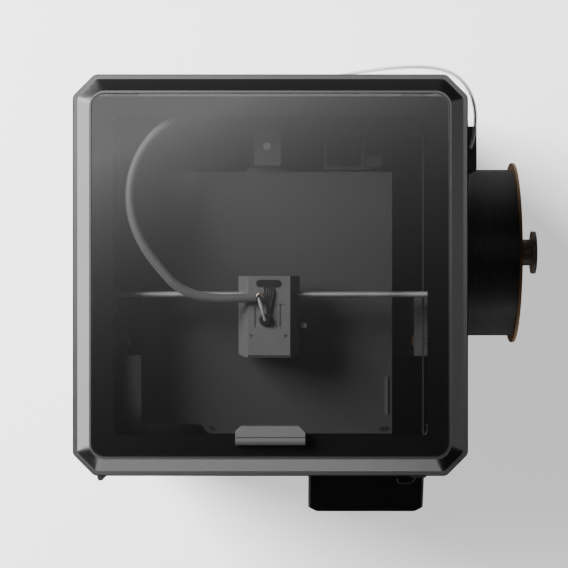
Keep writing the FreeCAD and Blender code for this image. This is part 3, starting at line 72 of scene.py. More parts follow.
class Value:
    """A shader socket that adds its Math nodes when it is used in an expression."""

    def __init__(self, tree, socket):
        self.tree = tree
        self.socket = socket

    def math(self, operation, *others):
        node = self.tree.nodes.new("ShaderNodeMath")
        node.operation = operation
        for entry, other in zip(node.inputs, (self,) + others):
            join(self.tree, entry, other)
        return Value(self.tree, node.outputs[0])

    def __add__(self, other):
        return self.math("ADD", other)

    def __sub__(self, other):
        return self.math("SUBTRACT", other)

    def __mul__(self, other):
        return self.math("MULTIPLY", other)

    def __truediv__(self, other):
        return self.math("DIVIDE", other)

    def __rsub__(self, other):
        return self * -1 + other

    __radd__ = __add__
    __rmul__ = __mul__


def join(tree, entry, given):
    """Link a value to a socket, or set the socket to a plain number or colour."""
    if isinstance(given, Value):
        tree.links.new(given.socket, entry)
    else:
        entry.default_value = given


class Finish:
    """A material being mixed: its node tree, its main shader, and one way to add a node."""

    def __init__(self, name, shader):
        self.material = bpy.data.materials.new(name)
        self.material.use_nodes = True
        self.tree = self.material.node_tree
        self.shader = self.tree.nodes["Principled BSDF"]
        self.set(shader)

    def set(self, shader):
        for socket, given in shader.items():
            join(self.tree, self.shader.inputs[socket], given)

    def node(self, kind, settings=None, sockets=None, output=0):
        node = self.tree.nodes.new("ShaderNode" + kind)
        for name, setting in (settings or {}).items():
            setattr(node, name, setting)
        for socket, given in (sockets or {}).items():
            join(self.tree, node.inputs[socket], given)
        return Value(self.tree, node.outputs[output])

    def place(self):
        """The point on the piece, in metres, which stays with the piece when it moves."""
        return self.node("TexCoord", output="Object")

    def axis(self, letter):
        return self.node("SeparateXYZ", sockets={0: self.place()}, output=letter)

    def noise(self, scale, detail=3, roughness=0.55, stretch=(1, 1, 1)):
        spread = self.node("VectorMath", {"operation": "MULTIPLY"}, {0: self.place(), 1: stretch})
        sockets = {"Vector": spread, "Scale": scale, "Detail": detail, "Roughness": roughness}
        return self.node("TexNoise", {}, sockets)

    def mix(self, factor, first, second):
        colours = {0: factor, 6: first, 7: second}
        return self.node("Mix", {"data_type": "RGBA"}, colours, output=2)

    def span(self, given, low, high, start=0.0, end=1.0):
        """Spread a value between two limits over a new range."""
        return self.node("MapRange", {}, {0: given, 1: low, 2: high, 3: start, 4: end})

    def bump(self, height, distance, strength=1.0):
        sockets = {"Height": height, "Distance": distance, "Strength": strength}
        self.set({"Normal": self.node("Bump", {}, sockets)})


def grey(level, warm=0.0):
    """A grey of a linear level, a little warmer or cooler."""
    return (level * (1 + warm), level, level * (1 - warm), 1)


def new_piece(name, mesh, finish=None):
    piece = bpy.data.objects.new(name, mesh)
    bpy.context.scene.collection.objects.link(piece)
    if finish:
        mesh.materials.append(finish.material)
    return piece


def sheet_of(name, centre, size, finish):
    """A flat level rectangle."""
    mesh = bpy.data.meshes.new(name)
    x, y = size[0] / 2, size[1] / 2
    mesh.from_pydata([(-x, -y, 0), (x, -y, 0), (x, y, 0), (-x, y, 0)], [], [(0, 1, 2, 3)])
    piece = new_piece(name, mesh, finish)
    piece.location = centre
    return piece


floor_finish = Finish("pale_floor", {"Base Color": grey(0.86), "Roughness": 0.7,
                                     "Emission Color": grey(1), "Emission Strength": 0.74})
floor = sheet_of("floor", (0, 0, 0), (40, 40), floor_finish)
floor.visible_glossy = False

PANEL_HEIGHT = 4.3
PANEL_SIZE = 2.2
GLOW_IN_MIDDLE = -1.66
GLOW_BRIGHTEST = 1.45
panel_finish = Finish("overhead_panel", {"Base Color": grey(0), "Roughness": 1})
power = panel_finish.axis("Y") * 3.6 - panel_finish.axis("X") * 1.6 + GLOW_IN_MIDDLE
glow = panel_finish.node("Math", {"operation": "EXPONENT"}, {0: power})
softened = glow.math("MINIMUM", GLOW_BRIGHTEST) / GLOW_BRIGHTEST
panel_finish.set({"Emission Color": panel_finish.mix(softened, grey(0), grey(1)),
                  "Emission Strength": GLOW_BRIGHTEST, "Specular IOR Level": 0})
panel = sheet_of("overhead_panel", (0, 0, PANEL_HEIGHT), (PANEL_SIZE, PANEL_SIZE), panel_finish)
panel.visible_camera = False
panel.visible_diffuse = False
panel.visible_shadow = False


def softbox(name, place, target, size, watts):
    """A square area light that faces a target."""
    light = bpy.data.lights.new(name, "AREA")
    light.shape = "RECTANGLE"
    light.size, light.size_y = size
    light.energy = watts
    lamp = bpy.data.objects.new(name, light)
    lamp.location = place
    aim = Vector(target) - Vector(place)
    lamp.rotation_mode = "QUATERNION"
    lamp.rotation_quaternion = aim.to_track_quat("-Z", "Y")
    bpy.context.scene.collection.objects.link(lamp)
    return lamp


softbox("key_light", (-2.3, 1.3, 2.6), (0, 0, 0.2), (1.7, 1.7), 560)
softbox("left_light", (-2.6, 0.45, 0.75), (0, 0, 0.4), (2.6, 1.2), 46)
softbox("front_light", (-0.7, -2.8, 0.6), (0, 0, 0.4), (2.4, 0.7), 11)
softbox("right_light", (2.8, 0.2, 0.9), (0, 0, 0.3), (2.0, 1.2), 3)

world = bpy.data.worlds.new("studio")
bpy.context.scene.world = world
world.use_nodes = True
world.node_tree.nodes["Background"].inputs["Color"].default_value = grey(0.9)
world.node_tree.nodes["Background"].inputs["Strength"].default_value = 0.02


# Feed tube: a 4 mm see-through polymer tube with the black filament inside it. It comes up out of
# a block on the rear wall, goes round the rear right corner and drops into the sensor's collar.

TUBE_WIDE = 0.004
FILAMENT_WIDE = 0.0019
FEED_ROUTE = [
    (0.066, 0.2086, 0.352), (0.0665, 0.2086, 0.372), (0.069, 0.2082, 0.392),
    (0.075, 0.2078, 0.412), (0.086, 0.2082, 0.430), (0.102, 0.2093, 0.443),
    (0.124, 0.2112, 0.4515), (0.148, 0.2122, 0.455), (0.170, 0.2103, 0.456),
    (0.186, 0.205, 0.4555), (0.1975, 0.1955, 0.4525), (0.2055, 0.183, 0.4475),
    (0.2096, 0.1685, 0.4405), (0.2104, 0.1545, 0.431), (0.2096, 0.143, 0.4195),
    (0.2086, 0.136, 0.407), (0.2085, 0.134, 0.396),
]


def spline_of(name, route, wide):
    """A smooth curve through a route's control points, as thick as the tube it stands for."""
    curve = bpy.data.curves.new(name, "CURVE")
    curve.dimensions = "3D"
    spline = curve.splines.new("NURBS")
    spline.points.add(len(route) - 1)
    for point, place in zip(spline.points, route):
        point.co = (*place, 1)
    spline.order_u = 3
    spline.use_endpoint_u = True
    spline.resolution_u = 12
    curve.bevel_depth = wide / 2
    curve.bevel_resolution = 5
    curve.use_fill_caps = True
    return new_piece(name, curve)


def tube_finish(name, colour):
    """Clear polymer: a waxy gloss, half see-through, with a few dull rub marks."""
    finish = Finish(name, {"Alpha": 0.45, "IOR": 1.45})
    rubs = finish.span(finish.noise(240, 4), 0.45, 0.7)
    finish.set({"Base Color": finish.mix(rubs * 0.35, colour, grey(0.42, -0.03)),
                "Roughness": rubs * 0.25 + 0.2})
    return finish


milky = tube_finish("milky_tube", grey(0.75, -0.03))
feed_tube = spline_of("feed_tube_run", FEED_ROUTE, TUBE_WIDE)
feed_tube.data.materials.append(milky.material)
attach(feed_tube, "root")
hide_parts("feed_tube")

black_strand = Finish("black_strand", {"Specular IOR Level": 0.5})
strand_scuffs = black_strand.noise(400, 3)
black_strand.set({"Base Color": black_strand.mix(strand_scuffs, grey(0.006), grey(0.02)),
                  "Roughness": black_strand.span(strand_scuffs, 0.3, 0.7, 0.28, 0.5)})
feed_strand = spline_of("feed_filament", FEED_ROUTE, FILAMENT_WIDE)
feed_strand.data.materials.append(black_strand.material)
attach(feed_strand, "root")


# Wiring loom: the head's cables in a braided grey sleeve, clamped at the rear wall, arched over
# the gantry and plugged into the head. On the printer the first stretch lifts with the gantry and
# the second follows the head along the rods; here both are built in place and attached to neither.

LOOM_WIDE = 0.0095
REAR_LOOM = [
    (-0.0501, 0.171, 0.450), (-0.062, 0.171, 0.450), (-0.080, 0.1665, 0.4534),
    (-0.098, 0.1578, 0.4575), (-0.117, 0.1445, 0.461), (-0.132, 0.124, 0.463),
    (-0.141, 0.100, 0.464), (-0.143, 0.074, 0.4646), (-0.1375, 0.048, 0.465),
    (-0.124, 0.021, 0.465), (-0.103, -0.003, 0.4646),
]
HEAD_LOOM = [
    (-0.103, -0.003, 0.4646), (-0.0965, -0.0104, 0.4644), (-0.079, -0.020, 0.4636),
    (-0.054, -0.024, 0.4624), (-0.033, -0.0236, 0.4614), (-0.014, -0.0226, 0.461),
]
BUNDLES = 14
LAY_LENGTH = 0.021


def line_through(name, route):
    """Points along the smooth line through a route's control points."""
    guide = spline_of(name, route, 0)
    guide.data.resolution_u = 40
    guide.data.use_fill_caps = False
    lined = bpy.data.meshes.new_from_object(guide)
    points = [vertex.co.copy() for vertex in lined.vertices]
    bpy.data.objects.remove(guide)
    return points


def spread_evenly(points, step):
    """The same line, with its points a step apart."""
    lengths = [0.0]
    for first, second in zip(points, points[1:]):
        lengths.append(lengths[-1] + (second - first).length)
    count = max(2, round(lengths[-1] / step))
    even = []
    here = 0
    for number in range(count + 1):
        target = lengths[-1] * number / count
        while here < len(points) - 2 and lengths[here + 1] < target:
            here += 1
        part = (target - lengths[here]) / (lengths[here + 1] - lengths[here])
        even.append(points[here].lerp(points[here + 1], part))
    return even, lengths[-1]


def cross_frames(points):
    """At each point of a line, two directions square to it that don't twist along it."""
    frames = []
    side = None
    for number, point in enumerate(points):
        ahead = points[min(number + 1, len(points) - 1)]
        heading = (ahead - points[max(number - 1, 0)]).normalized()
        if side is None:
            side = heading.orthogonal()
        side = (side - heading * side.dot(heading)).normalized()
        frames.append((point, side, heading.cross(side)))
    return frames


def braid_height(turn, run):
    """How proud a braided sleeve stands at a place round it and along it, from 0 to 1, and
    which way its strands run there."""
    right = turn * BUNDLES / 2 + run * BUNDLES / 2
    left = turn * BUNDLES / 2 - run * BUNDLES / 2
    right_over = (math.floor(right) + math.floor(left)) % 2 == 0
    over = left if right_over else right
    cross = right if right_over else left
    ridge = abs(math.sin(math.pi * over)) ** 0.6
    dip = 0.55 + 0.45 * abs(math.sin(math.pi * cross))
    return ridge * dip


def braided_tube(name, route, wide, phase=0.0):
    """A sleeve of strand bundles, each passing over and under the ones that cross it."""
    points = line_through(name + "_line", route)
    even, length = spread_evenly(points, 0.0008)
    frames = cross_frames(even)
    around = BUNDLES * 6
    mesh = bpy.data.meshes.new(name)
    shape = bmesh.new()
    # The braid's height at each vertex, which the sleeve's colour also uses as painted shade in the
    # dips.
    proud = shape.verts.layers.float.new("proud")
    rings = []
    for number, (point, side, up) in enumerate(frames):
        run = phase + length * number / (len(frames) - 1) / LAY_LENGTH
        ring = []
        for spoke in range(around):
            turn = spoke / around
            angle = math.tau * turn
            height = braid_height(turn, run)
            radius = wide / 2 * (0.93 + 0.07 * height)
            offset = side * math.cos(angle) + up * math.sin(angle)
            vertex = shape.verts.new(point + offset * radius)
            vertex[proud] = height
            ring.append(vertex)
        rings.append(ring)
    join_rings(shape, rings)
    for ring, flip in ((rings[0], True), (rings[-1], False)):
        shape.faces.new(ring[::-1] if flip else ring)
    shape.to_mesh(mesh)
    shape.free()
    return new_piece(name, mesh), points, length


def join_rings(shape, rings, smooth=True):
    """Skin the space between rings of vertices, each ring closed on itself."""
    for first, second in zip(rings, rings[1:]):
        count = len(first)
        for spoke in range(count):
            after = (spoke + 1) % count
            face = shape.faces.new((first[spoke], first[after], second[after], second[spoke]))
            face.smooth = smooth


sleeve = Finish("braided_sleeve", {"Sheen Weight": 0.25})
# The sleeve is darker where the braid lies low, between strands and where a strand passes under
# another: painted shade. The fibre noise is the strands' own grain.
sleeve_proud = sleeve.node("Attribute", {"attribute_name": "proud"}, output="Fac")
sleeve_fibre = sleeve.noise(1800, 3)
sleeve_painted_shade_and_fibre = sleeve_proud * 0.75 + sleeve_fibre * 0.5 - 0.1
sleeve.set({"Base Color": sleeve.mix(sleeve_painted_shade_and_fibre, grey(0.02), grey(0.16)),
            "Roughness": sleeve.span(sleeve_fibre, 0.3, 0.7, 0.4, 0.7)})
sleeve.bump(sleeve_fibre, 0.0002, 0.6)

rear_loom, rear_line, rear_length = braided_tube("loom_rear_sleeve", REAR_LOOM, LOOM_WIDE)
rear_loom.data.materials.append(sleeve.material)
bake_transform(rear_loom)
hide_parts("loom_rear")

head_loom, head_line, _ = braided_tube(
    "loom_head_sleeve", HEAD_LOOM, LOOM_WIDE, phase=rear_length / LAY_LENGTH)
head_loom.data.materials.append(sleeve.material)
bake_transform(head_loom)
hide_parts("loom_head")


# Guide tube on the head: a short stiff polymer tube that brings the filament out of the loom's
# end and down into the black coupling over the drive gears.

GUIDE_WIDE = 0.0036
GUIDE_ROUTE = [
    (-0.0121, -0.0233, 0.4626), (-0.010, -0.029, 0.4649), (-0.0076, -0.037, 0.4654),
    (-0.0052, -0.0454, 0.4614),
]
guide_tube = spline_of("guide_tube_run", GUIDE_ROUTE, GUIDE_WIDE)
guide_tube.data.materials.append(milky.material)
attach(guide_tube, "toolhead")
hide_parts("guide_tube")
guide_strand = spline_of("guide_filament", GUIDE_ROUTE, FILAMENT_WIDE)
guide_strand.data.materials.append(black_strand.material)
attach(guide_strand, "toolhead")


# Head leads: five thin black wires from the connector on the head, gathered into a point behind
# the coupling, and the copper clamp that holds the loom's shield at its end.

LEAD_WIDE = 0.0016
LEAD_PITCH = 0.0024
CLAMP_WIDE = 0.0015
for number in range(5):
    spread = (number - 2) * LEAD_PITCH
    lead_route = [
        (-0.0016 + spread, -0.0122, 0.4553), (-0.0016 + spread, -0.016, 0.4575),
        (-0.0016 + spread * 0.8, -0.024, 0.4578), (-0.0018 + spread * 0.35, -0.032, 0.4574),
        (-0.0022 + spread * 0.3, -0.0392, 0.4572),
    ]
    lead = spline_of(f"head_lead_{number + 1}", lead_route, LEAD_WIDE)
    lead.data.materials.append(black_strand.material)
    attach(lead, "toolhead")

copper = Finish("clamp_copper", {"Metallic": 1.0})
copper_stain = copper.noise(260, 4)
copper.set({"Base Color": copper.mix(copper_stain, (0.75, 0.5, 0.36, 1), (0.95, 0.78, 0.66, 1)),
            "Roughness": copper.span(copper_stain, 0.3, 0.7, 0.25, 0.45)})
clamp_route = [(-0.0138, -0.0215, 0.4655), (-0.013, -0.0192, 0.4657), (-0.0102, -0.0182, 0.4658),
               (-0.0075, -0.0194, 0.4655), (-0.0068, -0.0222, 0.4648)]
clamp = spline_of("shield_clamp", clamp_route, CLAMP_WIDE)
clamp.data.materials.append(copper.material)
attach(clamp, "toolhead")


# Case: folded aluminium side panels, powder-coated dark grey with a fine sand texture, on a
# moulded base pan, with a rear panel punched for the fan and the sockets. Rubber feet below.

def finish_node(name, finish):
    """Give a part of the frame its finish."""
    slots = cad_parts[name].data.materials
    slots.clear()
    slots.append(finish.material)


def coated_metal(name, level, sand=0.00012):
    """Powder coat: fine sand texture, slight clouding, a few brighter flecks."""
    finish = Finish(name, {"Metallic": 0.55, "Specular IOR Level": 0.5})
    grain = finish.noise(1500, 2)
    cloud = finish.noise(9, 4)
    flecks = finish.span(finish.noise(2600, 1), 0.68, 0.78)
    tone = finish.mix(cloud, grey(level * 0.88), grey(level * 1.12))
    finish.set({"Base Color": finish.mix(flecks * 0.4, tone, grey(level * 2.2)),
                "Roughness": finish.span(grain, 0.3, 0.7, 0.36, 0.52)})
    finish.bump(grain, sand, 0.5)
    return finish


def moulded_plastic(name, level, rough=0.45, grain_size=0.0007, depth=0.00006, shine=0.5):
    """Spark-textured moulding: fine even grain, faint flow clouding, rubbed patches."""
    finish = Finish(name, {"Specular IOR Level": shine})
    grain = finish.noise(1 / grain_size, 2)
    cloud = finish.noise(14, 4)
    rubbed = finish.span(finish.noise(38, 5, 0.65), 0.52, 0.72)
    tone = finish.mix(cloud, grey(level * 0.85), grey(level * 1.15))
    finish.set({"Base Color": finish.mix(rubbed * 0.15, tone, grey(level * 1.8 + 0.01)),
                "Roughness": finish.span(grain, 0.3, 0.7, rough - 0.06, rough + 0.08)
                - rubbed * 0.06})
    finish.bump(grain, depth, 0.6)
    return finish


case_coat = coated_metal("case_coat", 0.085)
pan_plastic = moulded_plastic("pan_plastic", 0.045)
foot_rubber = moulded_plastic("foot_rubber", 0.018, rough=0.75, grain_size=0.0012)
for panel_name in ("left_panel", "right_panel", "rear_panel"):
    finish_node(panel_name, case_coat)
finish_node("base_pan", pan_plastic)
finish_node("rubber_feet", foot_rubber)


# Top frame: the satin grey anodised ring round the lid, mitred at its corners, with a narrow
# outer ledge, a slope and an inner ledge that the glass lies against.

def anodised_metal(name, level, rough, metallic=0.9):
    """Bead-blasted and anodised: metal with a very fine even grain."""
    finish = Finish(name, {"Metallic": metallic})
    grain = finish.noise(2200, 2)
    cloud = finish.noise(11, 4)
    finish.set({"Base Color": finish.mix(cloud, grey(level * 0.93), grey(level * 1.07)),
                "Roughness": finish.span(grain, 0.3, 0.7, rough - 0.04, rough + 0.06)})
    finish.bump(grain, 0.00003, 0.5)
    return finish


ring_metal = anodised_metal("ring_metal", 0.2, 0.3, metallic=1.0)
finish_node("top_frame", ring_metal)
fascia_plastic = moulded_plastic("fascia_plastic", 0.05, rough=0.42)
finish_node("front_fascia", fascia_plastic)
dark_screws = anodised_metal("dark_screws", 0.06, 0.34)
finish_node("case_screws", dark_screws)


# Lid: a tempered glass pane with a black printed border on its underside, lying on a soft black
# seal, with two hidden hinge leaves at the rear and a moulded pull at the front. The print stops
# short of the glass's rear edge, where the glass is bevelled to clear the ring as it lifts.

def pane_glass(name):
    """Clear glass with a faint grey tint: dark body, strong shine, mostly see-through."""
    finish = Finish(name, {"Base Color": grey(0.004), "Alpha": 0.32, "IOR": 2.8})
    smears = finish.span(finish.noise(7, 5, 0.6), 0.5, 0.8)
    finish.set({"Roughness": smears * 0.02 + 0.004})
    return finish


def printed_border(name, corners_out, corners_in, level, thick, upright=False):
    """A thin printed frame, given its outer and inner outlines as matching points."""
    mesh = bpy.data.meshes.new(name)
    shape = bmesh.new()
    rings = []
    for outline, height in ((corners_out, level), (corners_in, level),
                            (corners_in, level + thick), (corners_out, level + thick)):
        ring = []
        for x, y in outline:
            place = (x, height, y) if upright else (x, y, height)
            ring.append(shape.verts.new(place))
        rings.append(ring)
    join_rings(shape, rings + rings[:1], smooth=False)
    bmesh.ops.recalc_face_normals(shape, faces=shape.faces)
    shape.to_mesh(mesh)
    shape.free()
    return mesh


def rounded_outline(low, high, radius, steps=10):
    """Points round a rectangle with rounded corners, counted so that two outlines match."""
    points = []
    middles = ((high[0] - radius, high[1] - radius), (low[0] + radius, high[1] - radius),
               (low[0] + radius, low[1] + radius), (high[0] - radius, low[1] + radius))
    for quarter, middle in enumerate(middles):
        for step in range(steps + 1):
            angle = math.radians(90) * (quarter + step / steps)
            points.append((middle[0] + radius * math.cos(angle),
                           middle[1] + radius * math.sin(angle)))
    return points


BORDER_WIDE = 0.0213
BORDER_EDGE = 0.0004
PRINT_THICK = 0.0001
LID_BEVEL = 0.0026
clear_glass = pane_glass("clear_glass")
finish_node("lid_glass", clear_glass)

border_ink = Finish("border_ink", {"Specular IOR Level": 0.1})
ink_cloud = border_ink.noise(20, 3)
border_ink.set({"Base Color": border_ink.mix(ink_cloud, grey(0.0008), grey(0.002)),
                "Roughness": border_ink.span(ink_cloud, 0.3, 0.7, 0.4, 0.55)})
lid_low, lid_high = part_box("lid_glass")
outer = rounded_outline(lid_low.xy + Vector((BORDER_EDGE, BORDER_EDGE)),
                        lid_high.xy - Vector((BORDER_EDGE, BORDER_EDGE)), 0.0126)
inner = rounded_outline(lid_low.xy + Vector((BORDER_WIDE, BORDER_WIDE)),
                        lid_high.xy - Vector((BORDER_WIDE, BORDER_WIDE)), 0.004)
outer = [(x, min(y, lid_high.y - LID_BEVEL)) for x, y in outer]
lid_border = new_piece("lid_border_print",
                       printed_border("lid_border_print", outer, inner,
                                      lid_low.z - PRINT_THICK, PRINT_THICK * 0.9), border_ink)
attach(lid_border, "lid")

seal_foam = moulded_plastic("seal_foam", 0.012, rough=0.8, grain_size=0.0009, depth=0.0002)
finish_node("lid_seal", seal_foam)
pull_plastic = moulded_plastic("pull_plastic", 0.045, rough=0.45)
finish_node("lid_handle", pull_plastic)
hinge_metal = anodised_metal("hinge_metal", 0.07, 0.36)
for hinge_name in ("lid_hinge_leaves", "hinge_mounts", "door_hinges"):
    finish_node(hinge_name, hinge_metal)


# Door: a second glass pane with the same printed border, on two pin hinges at its left edge,
# with an upright black bar pull.

finish_node("door_glass", clear_glass)
door_low, door_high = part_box("door_glass")
DOOR_BORDER = 0.016
outer = rounded_outline((door_low.x + BORDER_EDGE, door_low.z + BORDER_EDGE),
                        (door_high.x - BORDER_EDGE, door_high.z - BORDER_EDGE), 0.006)
inner = rounded_outline((door_low.x + DOOR_BORDER, door_low.z + DOOR_BORDER),
                        (door_high.x - DOOR_BORDER, door_high.z - DOOR_BORDER), 0.004)
door_border = new_piece("door_border_print",
                        printed_border("door_border_print", outer, inner,
                                       door_high.y + PRINT_THICK * 0.1, PRINT_THICK * 0.9,
                                       upright=True), border_ink)
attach(door_border, "door")
bar_plastic = moulded_plastic("bar_plastic", 0.03, rough=0.38)
finish_node("door_handle", bar_plastic)


# Inside the case: a black moulded tray and steel brackets, the belt drive with its motors and
# pulleys, and the polished guide rods.

chamber_plastic = moulded_plastic("chamber_plastic", 0.05, rough=0.5, shine=0.9)
finish_node("inner_frame", chamber_plastic)
finish_node("wall_ports", moulded_plastic("port_plastic", 0.02, rough=0.5))
finish_node("purge_chute", moulded_plastic("chute_plastic", 0.03, rough=0.5))


def bare_metal(name, colour, rough, along=(1, 1, 1), scale=900):
    """Worked metal: fine tool lines along one direction, and slight smudges."""
    finish = Finish(name, {"Metallic": 1.0})
    lines = finish.noise(scale, 3, 0.6, stretch=along)
    smudge = finish.noise(25, 4)
    darker = (*[part * 0.72 for part in colour], 1)
    finish.set({"Base Color": finish.mix(lines * 0.6 + smudge * 0.4, darker, (*colour, 1)),
                "Roughness": finish.span(smudge, 0.3, 0.7, rough * 0.8, rough * 1.25)})
    finish.bump(lines, 0.00003, 0.5)
    return finish


polished_steel = bare_metal("polished_steel", (0.62, 0.62, 0.63), 0.62, along=(0.05, 1, 1))
upright_steel = bare_metal("upright_steel", (0.5, 0.5, 0.51), 0.28, along=(1, 1, 0.05))
cast_zinc = bare_metal("cast_zinc", (0.34, 0.34, 0.35), 0.42)
turned_brass = bare_metal("turned_brass", (0.72, 0.5, 0.22), 0.3, along=(1, 1, 20))
milled_aluminium = bare_metal("milled_aluminium", (0.52, 0.52, 0.53), 0.36, along=(1, 12, 1))

motor_steel = moulded_plastic("motor_black", 0.02, rough=0.4)
finish_node("drive_motors", motor_steel)
finish_node("belt_wheels", milled_aluminium)
finish_node("guide_rods", upright_steel)

BELT_PITCH = 0.002
belt_rubber = Finish("belt_rubber", {"Roughness": 0.7})
along_belt = belt_rubber.axis("X") + belt_rubber.axis("Y")
teeth = belt_rubber.node("Math", {"operation": "SINE"}, {0: along_belt * (math.tau / BELT_PITCH)})
belt_rubber.set({"Base Color": belt_rubber.mix(belt_rubber.noise(500, 3), grey(0.012), grey(0.03))})
belt_rubber.bump(teeth, 0.0004, 0.5)
finish_node("drive_belts", belt_rubber)
finish_node("cross_belts", belt_rubber)


# Gantry: two ground steel rods across the case between two moulded carriages, which slide on
# rods along the sides.

finish_node("x_rods", polished_steel)
finish_node("y_carriages", moulded_plastic("carriage_plastic", 0.03, rough=0.45))


# Print head: a dark grey moulded cover with slanting sides over a bracket, the filament drive,
# the hot end and a small fan. The cables plug into a rounded slot in the top.

head_plastic = moulded_plastic("head_plastic", 0.15, rough=0.42, grain_size=0.0006)
finish_node("toolhead_cover", head_plastic)
finish_node("toolhead_carriage", chamber_plastic)
finish_node("hotend", milled_aluminium)
finish_node("extruder_motor", motor_steel)
finish_node("head_connectors", moulded_plastic("connector_plastic", 0.012, rough=0.35))
finish_node("drive_gear", polished_steel)
finish_node("idler_gear", polished_steel)
finish_node("head_fan_rotor", moulded_plastic("rotor_plastic", 0.018, rough=0.35))
finish_node("cutter_lever", moulded_plastic("lever_plastic", 0.2, rough=0.4))


# Bed: a black steel frame on three lead screws carries the heated aluminium plate and a spring
# steel sheet with a fine sandpaper-like black coating.

finish_node("bed_frame", coated_metal("bed_black", 0.025))
finish_node("lift_nuts", turned_brass)
finish_node("heated_bed", milled_aluminium)
for screw_name in ("z_screw_left", "z_screw_right", "z_screw_rear"):
    finish_node(screw_name, upright_steel)

sheet_coat = Finish("sheet_coat", {"Specular IOR Level": 1.0})
pits = sheet_coat.noise(900, 3, 0.7)
sparkle = sheet_coat.span(sheet_coat.noise(2400, 1), 0.66, 0.74)
wear = sheet_coat.noise(16, 5, 0.6)
coat_tone = sheet_coat.mix(wear, grey(0.02), grey(0.032))
sheet_coat.set({"Base Color": sheet_coat.mix(sparkle * 0.4, coat_tone, grey(0.2)),
                "Roughness": sheet_coat.span(pits, 0.3, 0.7, 0.4, 0.58)})
sheet_coat.bump(pits, 0.00022, 0.8)
finish_node("build_plate", sheet_coat)


# Sheet prints: hatching, guide lines, ticks and dots printed on the coated sheet along its left
# and front edges, a light alignment bar at its right, and dark grip hatching in the corners.

PRINT_HIGH = 0.00005
SHEET_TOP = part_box("build_plate")[1].z


def print_marks(name, marks, finish):
    """Thin printed shapes on the sheet, each a list of its corners."""
    mesh = bpy.data.meshes.new(name)
    shape = bmesh.new()
    for corners in marks:
        low = [shape.verts.new((x, y, SHEET_TOP)) for x, y in corners]
        high = [shape.verts.new((x, y, SHEET_TOP + PRINT_HIGH)) for x, y in corners]
        shape.faces.new(high)
        join_rings(shape, [low, high], smooth=False)
    bmesh.ops.recalc_face_normals(shape, faces=shape.faces)
    shape.to_mesh(mesh)
    shape.free()
    piece = new_piece(name, mesh, finish)
    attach(piece, "bed")


def bar_mark(left, front, wide, deep):
    return [(left, front), (left + wide, front), (left + wide, front + deep), (left, front + deep)]


def slanted_mark(left, front, wide, deep, lean):
    """An upright stroke whose top is moved sideways."""
    return [(left, front), (left + wide, front), (left + wide + lean, front + deep),
            (left + lean, front + deep)]


def dot_mark(x, y, radius):
    corners = []
    for step in range(16):
        angle = math.tau * step / 16
        corners.append((x + radius * math.cos(angle), y + radius * math.sin(angle)))
    return corners


pale_print = Finish("pale_print", {"Specular IOR Level": 0.3, "Roughness": 0.6})
print_wear = pale_print.noise(500, 4)
pale_print.set({"Base Color": pale_print.mix(print_wear, grey(0.035), grey(0.11))})
bright_print = Finish("bright_print", {"Specular IOR Level": 0.3, "Roughness": 0.6})
bar_wear = bright_print.noise(300, 4)
bright_print.set({"Base Color": bright_print.mix(bar_wear, grey(0.07), grey(0.13))})
dark_print = Finish("dark_print", {"Specular IOR Level": 0.2, "Roughness": 0.7})
dark_wear = dark_print.noise(300, 4)
dark_print.set({"Base Color": dark_print.mix(dark_wear, grey(0.003), grey(0.008))})

HATCH_LEFT = -0.1330
HATCH_FRONT = -0.1515
HATCH_PITCH = 0.0027
GUIDE_LINE_WIDE = 0.0004
TICK_LONG = 0.0018

pale_marks = []
for step in range(15):
    left = HATCH_LEFT
    front = HATCH_FRONT + step * HATCH_PITCH
    pale_marks.append([(left, front + 0.0027), (left, front + 0.0017),
                       (left + 0.0052, front - 0.0015), (left + 0.0052, front - 0.0005)])
pale_marks.append(bar_mark(-0.1334, -0.103, GUIDE_LINE_WIDE, 0.150))
pale_marks.append(slanted_mark(-0.1262, -0.1105, GUIDE_LINE_WIDE, 0.0075, -0.0072))
pale_marks.append(bar_mark(-0.1262, -0.153, GUIDE_LINE_WIDE, 0.0425))
for step in range(38):
    pale_marks.append(bar_mark(-0.1300, -0.098 + step * 0.0036, 0.0022, 0.0012))
for step in range(14):
    pale_marks.append(bar_mark(-0.1210 + step * 0.0024, -0.1528, 0.0013, TICK_LONG))
for step in range(17):
    pale_marks.append(bar_mark(0.0400 + step * 0.0023, -0.1634, 0.0013, TICK_LONG))
pale_marks.append(dot_mark(-0.0470, -0.1625, 0.0012))
print_marks("sheet_print_pale", pale_marks, pale_print)
bright_marks = [dot_mark(x, -0.1625, 0.0013) for x in (0.0823, 0.0889, 0.0954)]
bright_marks.append(bar_mark(0.1196, -0.1465, 0.0034, 0.0405))
print_marks("sheet_print_bright", bright_marks, bright_print)
dark_marks = [bar_mark(0.1232, -0.1465, 0.0018, 0.0405)]
for left in (-0.0668, -0.0640):
    dark_marks.append(slanted_mark(left + 0.0052, -0.1636, 0.0018, 0.0048, -0.0038))
for step in range(4):
    dark_marks.append(slanted_mark(0.1140 + step * HATCH_PITCH, -0.1642, 0.0017, 0.0050, 0.0012))
print_marks("sheet_print_dark", dark_marks, dark_print)


# Electrics: a perforated power supply and the main board in the floor bay, the mains inlet with
# its rocker, the exhaust fan, a small camera and a strip of white LEDs.

